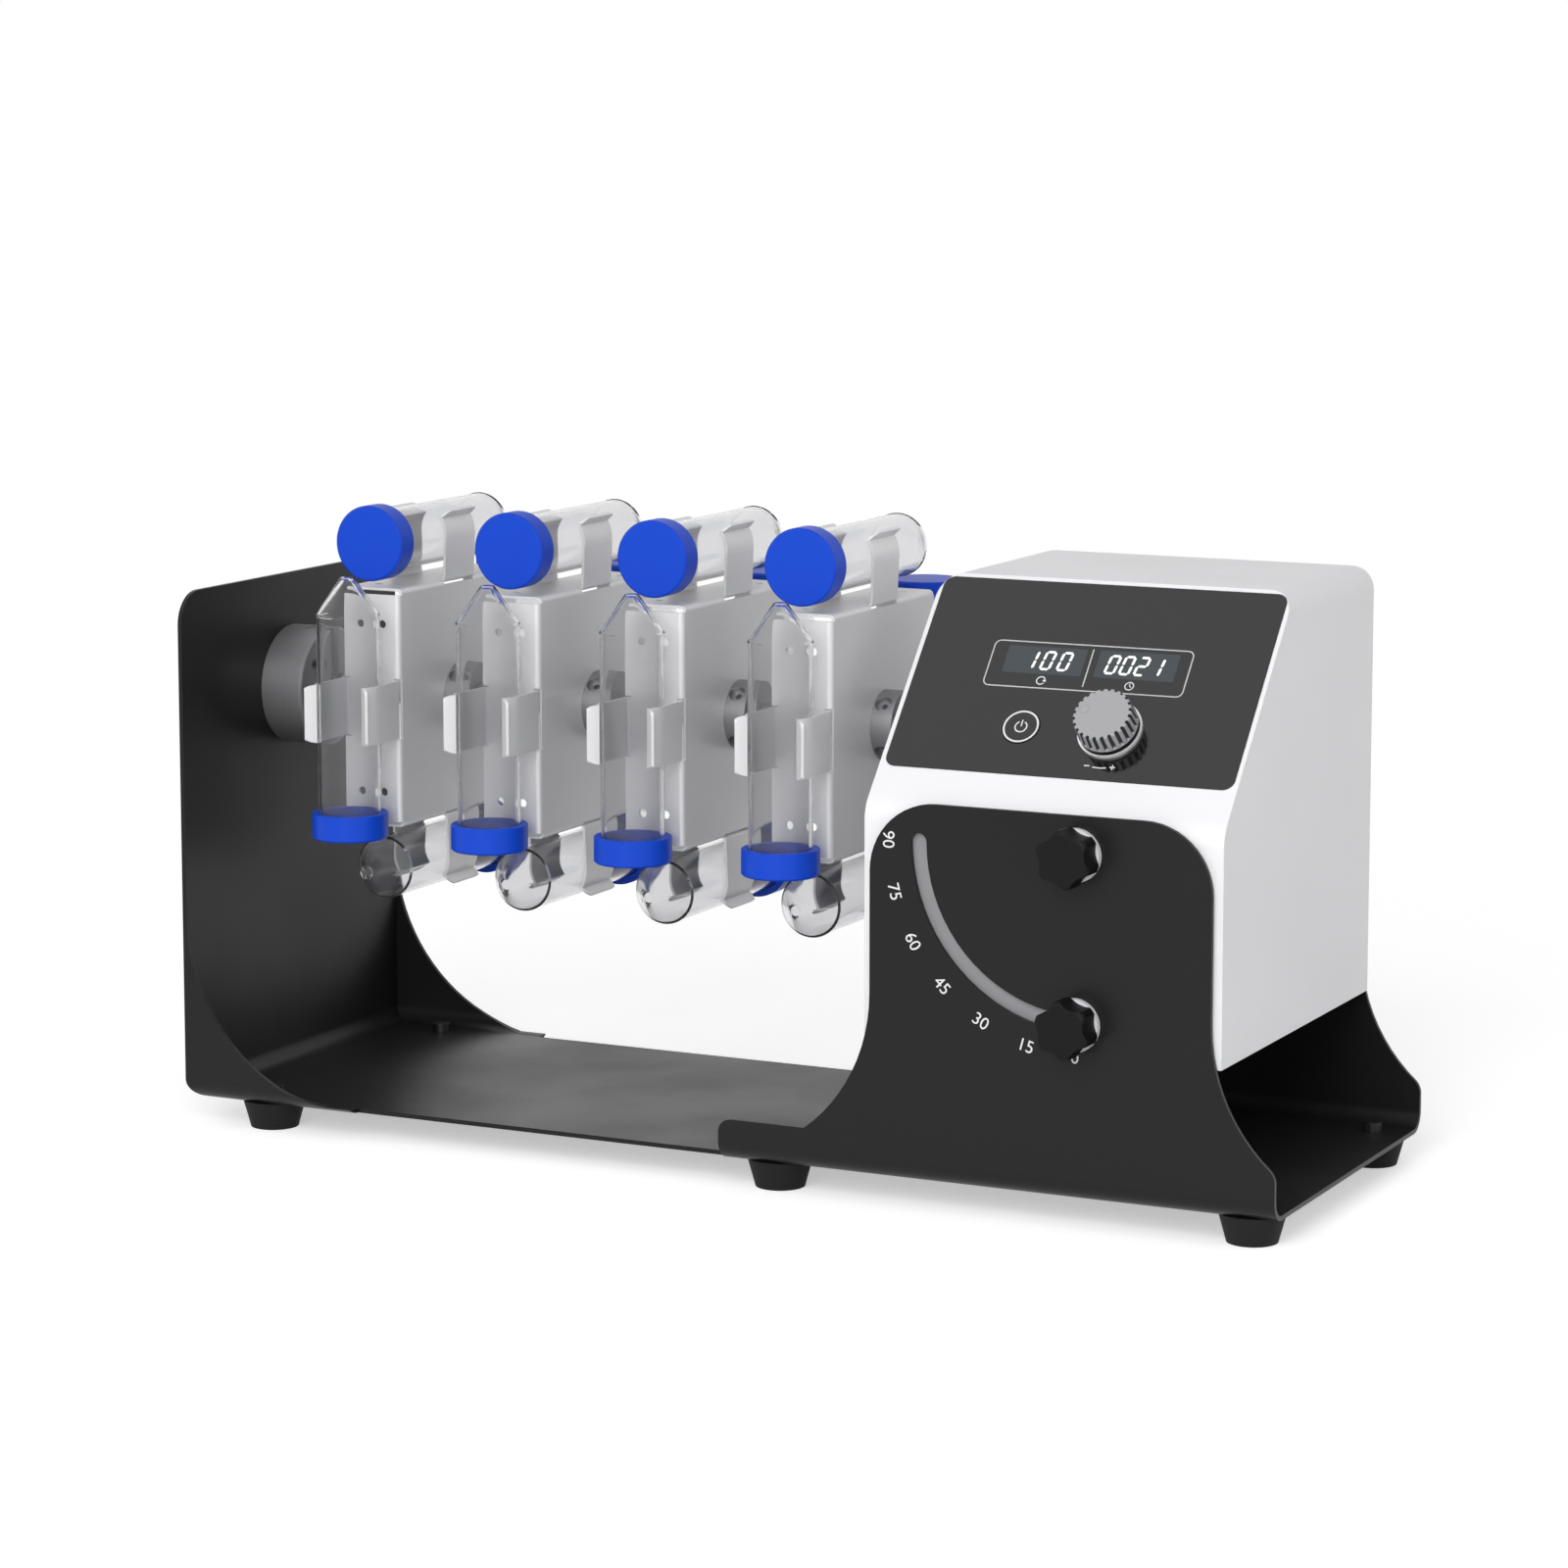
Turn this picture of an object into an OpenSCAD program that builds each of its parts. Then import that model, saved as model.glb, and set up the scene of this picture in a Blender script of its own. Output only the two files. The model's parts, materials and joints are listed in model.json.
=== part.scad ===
// Rotary tube mixer: a folded sheet base carries a tilting drive head, and the head turns a rotor of
// spring-clip holders for conical tubes. X runs along the rotor, Y goes to the back, Z is up from the table.

/* [Base] */
// Depth of the folded base over its front and back walls
base_d = 186; // [176:1:200]
// Thickness of the base sheet
sheet_t = 2; // [1.5:0.1:3]
// Outside radius of the base's bends
bend_r = 9; // [6:0.5:12]
// Height of the left upright over the base's underside
upright_h = 231; // [222:1:250]
// Radius of the upright's two top corners
upright_corner_r = 15; // [8:1:25]
// Radius of the hollow gusset between upright and floor
gusset_r = 84; // [60:1:95]
// Length of the side walls, measured from the right end
lip_l = 253; // [240:1:262]
// Height of the low lip of the side walls
lip_h = 18.5; // [14:0.5:24]
// Radius of the lip's free corner
lip_corner_r = 6; // [3:0.5:9]
// Width of the cheeks
cheek_w = 153; // [146:1:158]
// Distance from the cheeks to the right end of the base
cheek_end = 28.5; // [26:0.5:34]
// Height of the cheeks over the tilt pivot
cheek_over = 16.2; // [14:0.2:24]
// Radius of the cheeks' top corners
cheek_corner_r = 30; // [20:1:40]
// Radius of the hollow flares at the foot of the cheeks
flare_r = 76; // [66:1:84]
// Height of the flares' upper end over the base's underside
flare_h = 79.5; // [74:0.5:86]
// Radius of the walls' corner where the right flare meets the end of the base
end_corner_r = 9; // [6:0.5:12]

/* [Feet] */
// Height of the rubber feet under the base
foot_h = 12.5; // [9:0.5:18]
// Diameter of a foot where it meets the base
foot_top_d = 28.5; // [24:0.5:32]
// Diameter of a foot on the table
foot_bottom_d = 21.6; // [18:0.2:24]
// Distance of the feet from the front and back of the base
foot_side = 18; // [16:0.5:24]
// Distance of the left feet from the left end
foot_left = 36; // [28:1:50]
// Distance of the middle feet from the right end
foot_middle = 232; // [215:1:240]
// Distance of the right feet from the right end
foot_right = 16; // [15:0.5:30]
// Thread diameter of the foot screws
foot_screw_d = 4; // [3:0.5:5]

/* [Rotor] */
// Height of the rotor's axis over the base's underside
axis_h = 179; // [176:0.5:186]
// Distance of the first holder from the left end of the base
first_station = 77.6; // [74:0.2:82]
// Distance from one holder to the next
pitch = 71.4; // [66:0.2:78]
// Distance from the last holder to the head
head_stand = 46.95; // [40:0.05:60]
// Distance of the tubes' axes from the rotor's axis
tube_axis_r = 74.2; // [73:0.1:76]
// Diameter of the rotor's shaft
shaft_d = 12; // [10:0.5:14]
// Diameter of the journal at the shaft's left end
journal_d = 10; // [8:0.5:11]
// Outside diameter of the hub collars
hub_d = 31; // [27:0.5:36]
// Length of the hub collars
hub_l = 10; // [8:0.5:14]

/* [Holders] */
// Side of the square holders
holder_s = 108; // [104:0.5:110]
// Thickness of a holder along the shaft
holder_t = 28.8; // [27:0.2:30]
// Thickness of the holders' sheet
clip_t = 1.2; // [0.8:0.1:1.4]
// Outside radius of the holders' bends
clip_bend_r = 2.5; // [2:0.1:3.5]
// Open gap at the corners of the holder's walls
corner_gap = 2.7; // [2:0.1:4]
// Width of the spring arms
arm_w = 26; // [20:0.5:32]
// Length of the arms' flared lips
arm_lip = 5.2; // [3:0.1:6]
// Radius of the lips' free corners
arm_corner_r = 4; // [2:0.5:6]
// Diameter of the small holes in the holder's walls
wall_hole_d = 3.7; // [2.5:0.1:5]

/* [Tubes] */
// Outside diameter of the tubes
tube_d = 28; // [26.5:0.1:28.4]
// Wall of the tubes
tube_wall = 1.2; // [0.8:0.1:1.8]
// Length of a capped tube
tube_l = 117; // [112:0.5:118]
// Length of the tube's cone
cone_l = 16.5; // [12:0.5:20]
// Diameter of the flat at the cone's tip
tip_d = 6; // [4:0.5:9]
// Diameter of the caps
cap_d = 34; // [32:0.2:35]
// Height of the caps
cap_h = 11.6; // [9:0.2:14]
// Distance from the middle of a holder to the cap's end
cap_reach = 56; // [54:0.5:60]

/* [Head] */
// Width of the head along the rotor
head_w = 160.5; // [156:0.5:166]
// Height of the head
head_h = 188; // [182:1:200]
// Height of the rotor's axis over the head's underside
axis_in_head = 118; // [114:0.5:122]
// Gap between the head and each cheek
head_gap = 1; // [0.6:0.1:2]
// Wall of the head's hood
hood_t = 3; // [2:0.1:4]
// Radius of the hood's top corners
hood_corner_r = 10; // [6:0.5:16]
// Height of the control slope's foot over the head's underside
slope_foot = 97; // [96:0.5:102]
// Distance that the control slope leans back
slope_back = 80; // [74:0.5:86]
// Radius of the soft bend at the foot of the slope
slope_bend_r = 14; // [6:1:20]
// Thickness of the head's bottom plate and rear panel
plate_t = 2.5; // [2:0.1:3.5]

/* [Tilt] */
// Distance of the tilt pivot from the right end of the base
pivot_end = 88; // [84:0.5:92]
// Distance from the foot of the control slope down to the tilt pivot
pivot_drop = 12.2; // [10:0.2:16]
// Height of the lock stud over the head's underside
lock_in_head = 13.8; // [12:0.2:18]
// Width of the arc slot
slot_w = 7.2; // [6.6:0.2:9]
// Diameter of the pivot stud
pivot_d = 8; // [6:0.5:9]
// Diameter of the lock stud
lock_d = 6; // [5:0.2:6.2]
// Diameter of the star knobs over their lobes
star_d = 25.2; // [22:0.4:30]
// Thickness of the star knobs
star_t = 12.5; // [9:0.5:16]
// Diameter of the washers behind the star knobs
washer_d = 22.6; // [20:0.2:26]
// Thickness of the washers
washer_t = 3; // [2:0.2:4]

/* [Controls] */
// White rim left around the control overlay
overlay_rim = 2; // [1.5:0.1:4]
// Distance from the slope's foot to the overlay
overlay_foot = 21.4; // [16:0.2:26]
// Corner radius of the overlay
overlay_corner_r = 5; // [3:0.5:8]
// Thickness of the overlay
overlay_t = 0.8; // [0.6:0.1:1.2]
// Width of each display window
window_w = 36; // [30:0.5:38]
// Height of each display window
window_h = 13.8; // [10:0.2:16]
// Gap between the two display windows
window_gap = 5.6; // [4:0.2:8]
// Distance from the slope's foot to the middle of the windows
window_v = 78.8; // [76:0.2:84]
// Distance of the encoder knob from the head's left side
encoder_u = 98.3; // [94:0.1:104]
// Distance from the slope's foot to the encoder's axis
encoder_v = 46; // [44:0.2:48]
// Diameter of the encoder knob
encoder_d = 26.4; // [22:0.2:28]
// Height of the encoder knob over the overlay
encoder_h = 13; // [10:0.5:16]
// Distance of the push button from the head's left side
button_u = 58.3; // [52:0.1:62]
// Distance from the slope's foot to the button's axis
button_v = 45; // [42:0.2:48]
// Diameter of the push button
button_d = 16.4; // [14:0.2:18]
// Travel of the push button
button_travel = 0.6; // [0.4:0.1:1]

/* [Hidden] */
$fn = 72;

// Clearances: running fits, loose gaps between pieces that move past each other, and seats of fixed pieces
run = 0.05;
slip = 0.3;
seat = 0.05;
// Overlap that fuses two shapes of one piece, and reach of a cutter past the faces that it cuts
fuse = 0.5;
past = 5;

// Base in its own place: length, ends, underside, floor and walls
station_n = 4;
base_l = first_station + (station_n - 1) * pitch + head_stand + (head_w + cheek_w) / 2 + cheek_end;
x_left = -base_l / 2;
x_right = base_l / 2;
z_base = foot_h;
z_floor = z_base + sheet_t;
y_wall = base_d / 2;
x_lip = x_right - lip_l;
x_cheek_r = x_right - cheek_end;
x_cheek_l = x_cheek_r - cheek_w;
z_flare = z_base + flare_h;
// The gusset's arc cuts a little into floor and upright, so that it ends on them at an angle
gusset_dip = 0.8;
// Height of the bend that stays where the gusset's arc runs out
gusset_keep = 0.3;
// Distance from the bends' start to the free edges of the floor
floor_in = 0.5;
x_gusset = x_left + sheet_t + gusset_r - gusset_dip;
z_gusset = z_floor + gusset_r - gusset_dip;

// Rotor
z_axis = z_base + axis_h;
x_first = x_left + first_station;
stations = [for (k = [0 : station_n - 1]) x_first + k * pitch];
hub_r = hub_d / 2;
shaft_r = shaft_d / 2;

// Head
x_head_l = (x_cheek_l + x_cheek_r - head_w) / 2;
x_head_r = x_head_l + head_w;
x_head = (x_head_l + x_head_r) / 2;
z_head = z_axis - axis_in_head;
z_head_top = z_head + head_h;
y_head = y_wall - sheet_t - head_gap;
z_slope = z_head + slope_foot;
slope_rise = head_h - slope_foot;
slope_a = atan2(slope_rise, slope_back);
slope_l = norm([slope_rise, slope_back]);
y_rear = y_head - plate_t;
z_inside = z_head + plate_t;

// Tilt
x_pivot = x_right - pivot_end;
z_pivot = z_slope - pivot_drop;
z_lock = z_head + lock_in_head;
slot_r = z_pivot - z_lock;
cheek_h = z_pivot - z_base + cheek_over;
y_washer = y_wall + slip;
y_star = y_washer + washer_t;
front_reach = y_star + star_t;
bolt_head_t = 5;
rear_reach = y_washer + washer_t + bolt_head_t;
// The frame's Y origin is midway between the front knobs and the rear pivot bolt
y_mid = (front_reach - rear_reach) / 2;

// Tail block on the upright, and the cradle before it with an open-topped groove that the journal drops into
tail_d = 55;
tail_l = 21;
tail_flat = 8;
cradle_l = 11;
cradle_pin_d = 16;
cradle_pin_l = 6;
groove_l = 5;
x_upright = x_left + sheet_t;
x_tail = x_upright + tail_l;
x_cradle = x_tail - cradle_l;
tail_screw_r = 19;
tail_screw_d = 4;
tail_screw_angles = [38, 142, 218, 322];
tail_recess_d = 7.6;
tail_recess_l = 4;

// Drive train inside the head, as distances from the inside of the left wall
x_wall = x_head_l + hood_t;
housing_flange_d = 40;
housing_flange_t = 5;
bearing_d = 22;
bearing_l = 7;
spigot_d = bearing_d + 6;
coupling_d = 22;
coupling_l = 24;
coupling_gap = 3;
output_d = 8;
bracket_t = 3;
bracket_gap = 4;
gearbox_d = 37;
gearbox_l = 30;
gearbox_boss_d = 14;
motor_d = 36;
motor_l = 48;
x_coupling = x_wall + housing_flange_t + coupling_gap;
x_shaft_end = x_coupling + coupling_l / 2;
x_bracket = x_coupling + coupling_l + bracket_gap;
x_gearbox = x_bracket + bracket_t;
bracket_w = 60;
bracket_foot = 34;
bracket_screw_d = 4;
bracket_hole_in = 12;
bracket_hole_step = 14;
bracket_hole_side = 20;

// Depths below the slope's surface, for the pieces behind the control overlay
overlay_sink = 0.6;
board_depth = 14;
board_t = 1.6;
window_u = head_w / 2;
module_side = 1;

// Studs and bosses, and the part of a boss or post that a thread doesn't reach
boss_d = 14;
boss_l = 14;
thread_end = 2;
stud_in = hood_t + boss_l - thread_end;
// Depth of the studs in the star knobs, and the turn of the knobs at rest
stud_grip = 7.5;
star_turn = 38.8;

// Shapes used by several pieces

// Puts a piece of the machine into the part's frame
module in_frame() {
    translate([0, y_mid, 0]) children();
}

// Rectangle from a corner with its four corners rounded
module round_rect(x, y, w, h, r) {
    translate([x + r, y]) square([w - 2 * r, h]);
    translate([x, y + r]) square([w, h - 2 * r]);
    for (cx = [x + r, x + w - r], cy = [y + r, y + h - r])
        translate([cx, cy]) circle(r);
}

// Upright slot with round ends, from its lower left corner
module slot_upright(x, y, w, h) {
    translate([x, y + w / 2]) square([w, h - w]);
    for (cy = [y + w / 2, y + h - w / 2])
        translate([x + w / 2, cy]) circle(d = w);
}

// Rectangle from a corner with its two upper corners rounded
module arch_rect(x, y, w, h, r) {
    translate([x, y]) square([w, h - r]);
    translate([x + r, y]) square([w - 2 * r, h]);
    for (cx = [x + r, x + w - r])
        translate([cx, y + h - r]) circle(r);
}

// Quarter of a flat ring, in the quadrant where both coordinates are positive
module ring_quarter(r_out, r_in) {
    intersection() {
        difference() {
            circle(r_out);
            circle(r_in);
        }
        square(r_out + 1);
    }
}

// Extrudes an outline drawn in X and Z along Y, from y0 to y1
module along_y(y0, y1) {
    translate([0, y1, 0]) rotate([90, 0, 0]) linear_extrude(y1 - y0) children();
}

// Extrudes an outline drawn in Y and Z along X, from x0 to x1
module along_x(x0, x1) {
    translate([x0, 0, 0]) rotate([90, 0, 90]) linear_extrude(x1 - x0) children();
}

// Round rod along X from x0 to x1, on an axis at y and z
module rod_x(x0, x1, d, y = 0, z = z_axis) {
    translate([x0, y, z]) rotate([0, 90, 0]) cylinder(d = d, h = x1 - x0);
}

// Round rod along Y from y0 to y1, on an axis at x and z
module rod_y(y0, y1, d, x, z) {
    translate([x, y1, z]) rotate([90, 0, 0]) cylinder(d = d, h = y1 - y0);
}

// Puts a piece on the control slope: X from the head's left side, Y up the slope, Z out of it
module on_slope(u = 0, v = 0, out = 0) {
    translate([x_head_l, -y_head, z_slope]) rotate([slope_a, 0, 0]) translate([u, v, out]) children();
}

// Machine screw along Z: its head stands on the plane z = 0 and its thread hangs below
module screw(d, l) {
    head_d = 1.8 * d;
    head_t = 0.6 * d;
    key_d = 0.9 * d;
    difference() {
        cylinder(d = head_d, h = head_t);
        translate([0, 0, head_t / 2]) cylinder(d = key_d, h = head_t, $fn = 6);
    }
    translate([0, 0, -l]) cylinder(d = d, h = l + fuse * head_t);
}

// Countersunk head of a screw along Z, flush with the plane z = 0, grown by g
module sunk_head(d, g = 0) {
    translate([0, 0, -d / 2]) cylinder(d1 = d + 2 * g, d2 = 2 * d + 2 * g, h = d / 2);
}

// Countersunk screw along Z: its head is flush with the plane z = 0 and its thread hangs below
module sunk_screw(d, l) {
    key_d = 0.9 * d;
    difference() {
        union() {
            sunk_head(d);
            translate([0, 0, -l]) cylinder(d = d, h = l - d / 4);
        }
        translate([0, 0, -d / 4]) cylinder(d = key_d, h = d, $fn = 6);
    }
}

// Base

// Sides of the folded tray, seen from the right, grown by g
module tray_section(g, top) {
    r = bend_r + g;
    w = y_wall + g;
    translate([-w, z_base - g + r]) square([2 * w, top]);
    translate([-w + r, z_base - g]) square([2 * (w - r), top]);
    for (side = [-1, 1])
        translate([side * (w - r), z_base - g + r]) circle(r);
}

// Length of the folded tray, seen from the front, grown by g
module tray_length(g, top) {
    r = bend_r + g;
    l = base_l + past;
    translate([x_left - g, z_base - g + r]) square([l, top]);
    translate([x_left - g + r, z_base - g]) square([l, top]);
    translate([x_left - g + r, z_base - g + r]) circle(r);
}

module tray_solid(g, top) {
    intersection() {
        along_y(-base_d, base_d) tray_length(g, top);
        along_x(x_left - base_d, x_right + base_d) tray_section(g, top);
    }
}

// What the rounded corner at the walls' right end leaves out, seen from the front
module wall_end() {
    over = 0.1;
    reach = flare_r - cheek_end + end_corner_r - over;
    rise = sqrt(pow(flare_r + end_corner_r - over, 2) - pow(reach, 2));
    far = 3 * end_corner_r;
    translate([x_right - end_corner_r + over, z_flare - rise]) difference() {
        polygon([[0, 0], [far, 0], [far, far * rise / reach]]);
        circle(end_corner_r);
    }
}

// What is left of the tray's walls, seen from the front
module wall_outline() {
    difference() {
        whole_walls();
        wall_end();
    }
}

module whole_walls() {
    translate([x_left, z_base]) square([sheet_t, upright_h]);
    translate([x_left, z_base]) square([base_l, sheet_t + gusset_keep]);
    difference() {
        translate([x_left, z_base]) square([x_gusset - x_left, z_gusset - z_base]);
        translate([x_gusset, z_gusset]) circle(gusset_r);
    }
    difference() {
        union() {
            translate([x_lip + lip_corner_r, z_base]) square([lip_l - lip_corner_r, lip_h]);
            translate([x_lip, z_base]) square([lip_l, lip_h - lip_corner_r]);
            translate([x_lip + lip_corner_r, z_base + lip_h - lip_corner_r]) circle(lip_corner_r);
        }
        translate([x_cheek_r + flare_r, z_flare]) circle(flare_r);
    }
    arch_rect(x_cheek_l, z_base, cheek_w, cheek_h, cheek_corner_r);
    difference() {
        translate([x_cheek_l - flare_r, z_base]) square([flare_r, flare_h]);
        translate([x_cheek_l - flare_r, z_flare]) circle(flare_r);
        translate([x_lip - flare_r, z_base + lip_h]) square([flare_r, flare_h]);
        translate([x_lip - flare_r, z_base - past]) square([flare_r, flare_h]);
    }
    difference() {
        translate([x_cheek_r, z_base]) square([cheek_end, flare_h]);
        translate([x_cheek_r + flare_r, z_flare]) circle(flare_r);
    }
}

// Arc slot for the lock stud, from straight below the pivot round to the left of it
module arc_slot() {
    translate([x_pivot, z_pivot]) {
        intersection() {
            difference() {
                circle(slot_r + slot_w / 2);
                circle(slot_r - slot_w / 2);
            }
            translate([-2 * slot_r, -2 * slot_r]) square(2 * slot_r);
        }
        translate([0, -slot_r]) circle(d = slot_w);
        translate([-slot_r, 0]) circle(d = slot_w);
    }
}

module upright_corners() {
    y = y_wall - upright_corner_r;
    z = z_base + upright_h - upright_corner_r;
    for (flip = [0, 1]) mirror([flip, 0]) difference() {
        translate([y, z]) square(upright_corner_r + past);
        translate([y, z]) circle(upright_corner_r);
    }
}

foot_places = [for (x = [x_left + foot_left, x_right - foot_middle, x_right - foot_right], side = [-1, 1])
    [x, side * (y_wall - foot_side)]];

module base_frame() {
    pivot_hole_d = pivot_d + 2 * run;
    tray_top = upright_h + past;
    middle_l = x_lip - x_gusset;
    color("#2b2b2c") in_frame() difference() {
        intersection() {
            difference() {
                tray_solid(0, tray_top);
                tray_solid(-sheet_t, 2 * tray_top);
            }
            along_y(-base_d, base_d) wall_outline();
        }
        // Between gusset and lip the floor ends where its bends would start
        for (y0 = [-base_d, y_wall - bend_r - floor_in])
            translate([x_gusset, y0, z_base - past])
                cube([middle_l, base_d - y_wall + bend_r + floor_in, tray_top]);
        along_x(x_left - past, x_left + bend_r) upright_corners();
        along_y(-y_wall - past, -y_wall + bend_r) arc_slot();
        rod_y(-y_wall - past, y_wall + past, pivot_hole_d, x_pivot, z_pivot);
        for (p = foot_places)
            translate([p[0], p[1], z_base - past]) cylinder(d = foot_screw_d + 2 * seat, h = bend_r + past);
        for (a = tail_screw_angles)
            rod_x(x_left - past, x_left + bend_r, tail_screw_d + 2 * seat,
                tail_screw_r * cos(a), z_axis + tail_screw_r * sin(a));
    }
}

foot_recess_h = 5;

module rubber_feet() {
    recess_d = 12;
    color("#191919") in_frame() for (p = foot_places)
        translate([p[0], p[1], 0]) difference() {
            cylinder(d1 = foot_bottom_d, d2 = foot_top_d, h = foot_h);
            translate([0, 0, -past]) cylinder(d = recess_d, h = foot_recess_h + past);
            cylinder(d = foot_screw_d + 2 * seat, h = foot_h + past);
        }
}

// Each foot is held by a bolt from below, with a nut on the floor
module foot_screws() {
    nut_d = 8.4;
    nut_t = 4;
    color("#3a3a3c") in_frame() for (p = foot_places)
        translate([p[0], p[1], 0]) {
            translate([0, 0, foot_recess_h]) mirror([0, 0, 1])
                screw(foot_screw_d, z_floor - foot_recess_h + nut_t);
            translate([0, 0, z_floor]) cylinder(d = nut_d, h = nut_t);
        }
}

module tail_block() {
    color("#8f8f91") in_frame() difference() {
        rod_x(x_upright, x_cradle, tail_d);
        rod_x(x_cradle - cradle_pin_l - seat, x_cradle + past, cradle_pin_d + 2 * seat);
        for (a = tail_screw_angles) {
            y = tail_screw_r * cos(a);
            z = z_axis + tail_screw_r * sin(a);
            rod_x(x_upright - past, x_cradle + past, tail_screw_d + 2 * seat, y, z);
            rod_x(x_cradle - tail_recess_l, x_cradle + past, tail_recess_d, y, z);
        }
    }
}

// Cradle on the block's end: a pin holds it in the block, and its groove opens upwards through a flat
module tail_cradle() {
    r = tail_d / 2;
    groove_w = journal_d + 2 * run;
    flat_z = sqrt(pow(r, 2) - pow(tail_flat, 2));
    edge = 1;
    color("#8f8f91") in_frame() difference() {
        union() {
            translate([x_cradle, 0, z_axis]) rotate([0, 90, 0]) rotate_extrude()
                polygon([[0, 0], [r, 0], [r, cradle_l - edge], [r - edge, cradle_l], [0, cradle_l]]);
            rod_x(x_cradle - cradle_pin_l, x_cradle + fuse, cradle_pin_d);
        }
        translate([x_cradle - past, -tail_d, z_axis + flat_z]) cube([cradle_l + 2 * past, 2 * tail_d, tail_d]);
        rod_x(x_tail - groove_l, x_tail + past, groove_w);
        translate([x_tail - groove_l, -groove_w / 2, z_axis]) cube([groove_l + past, groove_w, tail_d]);
    }
}

module tail_screws() {
    color("#232325") in_frame() for (a = tail_screw_angles)
        translate([x_cradle - tail_recess_l, tail_screw_r * cos(a), z_axis + tail_screw_r * sin(a)])
            rotate([0, 90, 0]) screw(tail_screw_d, x_cradle - tail_recess_l - x_left);
}

// Head

// Front outline of the hood, grown by g at its sides and top
module hood_front(g, below) {
    arch_rect(x_head_l - g, z_head - below, head_w + 2 * g, head_h + g + below, hood_corner_r + g);
}

// Side outline of the hood, seen from the right, grown by g at its front and slope
module hood_side(g, below, behind) {
    lean = 90 - slope_a;
    foot_z = z_slope + g * tan(lean / 2);
    top_z = z_head_top + g;
    y_front = -y_head - g;
    // The slope's line, moved out by g, met with the top
    slope_y = y_front + (top_z - foot_z) * tan(lean);
    bend = slope_bend_r + g;
    cut = bend * tan(lean / 2);
    difference() {
        polygon([[y_front, z_head - below], [y_front, foot_z], [slope_y, top_z], [y_head + behind, top_z],
            [y_head + behind, z_head - below]]);
        // Soft bend at the foot of the slope
        difference() {
            polygon([[y_front, foot_z - cut], [y_front - past, foot_z], [y_front + cut * sin(lean),
                foot_z + cut * cos(lean)]]);
            translate([y_front + bend, foot_z - cut]) circle(bend);
        }
    }
}

module hood_solid(g, below, behind) {
    intersection() {
        along_y(-base_d, base_d) hood_front(g, below);
        along_x(x_head_l - head_w, x_head_r + head_w) hood_side(g, below, behind);
    }
}

overlay_u = overlay_rim;
overlay_w = head_w - 2 * overlay_rim;
overlay_l = slope_l - overlay_foot - overlay_rim;

// Outline of the control overlay, shrunk by g
module overlay_outline(g) {
    round_rect(overlay_u + g, overlay_foot + g, overlay_w - 2 * g, overlay_l - 2 * g, overlay_corner_r - g);
}

// The two display windows, grown by g
module window_outlines(g) {
    for (side = [-1, 1])
        translate([window_u + side * (window_w + window_gap) / 2, window_v])
            square([window_w + 2 * g, window_h + 2 * g], center = true);
}

post_w = 10;
post_l = 12;
post_floor = 1;
post_screw_l = plate_t + post_l - post_floor - thread_end;
bottom_post_in = 22;
bottom_post_y = y_head - hood_t - bottom_post_in;
rear_post_foot = 24;
rear_post_top = 30;
bottom_screw_d = 3;
bottom_posts = [for (x = [x_head_l + hood_t + post_w / 2, x_head_r - hood_t - post_w / 2], side = [-1, 1])
    [x, side * bottom_post_y]];
rear_posts = [for (x = [x_head_l + hood_t + post_w / 2, x_head_r - hood_t - post_w / 2],
    z = [z_head + rear_post_foot, z_head_top - rear_post_top]) [x, z]];

module head_hood() {
    stud_hole = 2 * slip;
    color("#f2f2f3") in_frame() difference() {
        union() {
            difference() {
                hood_solid(0, 0, 0);
                hood_solid(-hood_t, past, past);
            }
            // Screw posts for the bottom plate and the rear panel, on the side walls
            for (p = bottom_posts)
                translate([p[0] - post_w / 2 - fuse, p[1] - post_w / 2, z_inside])
                    cube([post_w + 2 * fuse, post_w, post_l]);
            for (p = rear_posts)
                translate([p[0] - post_w / 2 - fuse, y_rear - post_l, p[1] - post_w / 2])
                    cube([post_w + 2 * fuse, post_l, post_w]);
        }
        // Recess, display cut-out and holes of the control slope
        on_slope(0, 0, -overlay_sink) linear_extrude(past) overlay_outline(0);
        on_slope(0, 0, -hood_t - past) linear_extrude(hood_t + 2 * past) window_outlines(module_side);
        on_slope(encoder_u, encoder_v, -hood_t - past) cylinder(d = encoder_hole_d, h = hood_t + 2 * past);
        on_slope(button_u, button_v, -hood_t - past) cylinder(d = button_d + 2 * slip, h = hood_t + 2 * past);
        // Stud holes in the front and the shaft's hole in the left wall
        rod_y(-y_head - past, -y_head + hood_t + past, pivot_d + stud_hole, x_pivot, z_pivot);
        rod_y(-y_head - past, -y_head + hood_t + past, lock_d + stud_hole, x_pivot, z_lock);
        rod_x(x_head_l - past, x_wall + past, spigot_d + 2 * seat);
        for (p = bottom_posts)
            translate([p[0], p[1], z_inside - past])
                cylinder(d = bottom_screw_d + 2 * seat, h = post_l + past - post_floor);
        for (p = rear_posts)
            rod_y(y_rear - post_l + post_floor, y_rear + past, bottom_screw_d + 2 * seat, p[0], p[1]);
    }
}

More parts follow.
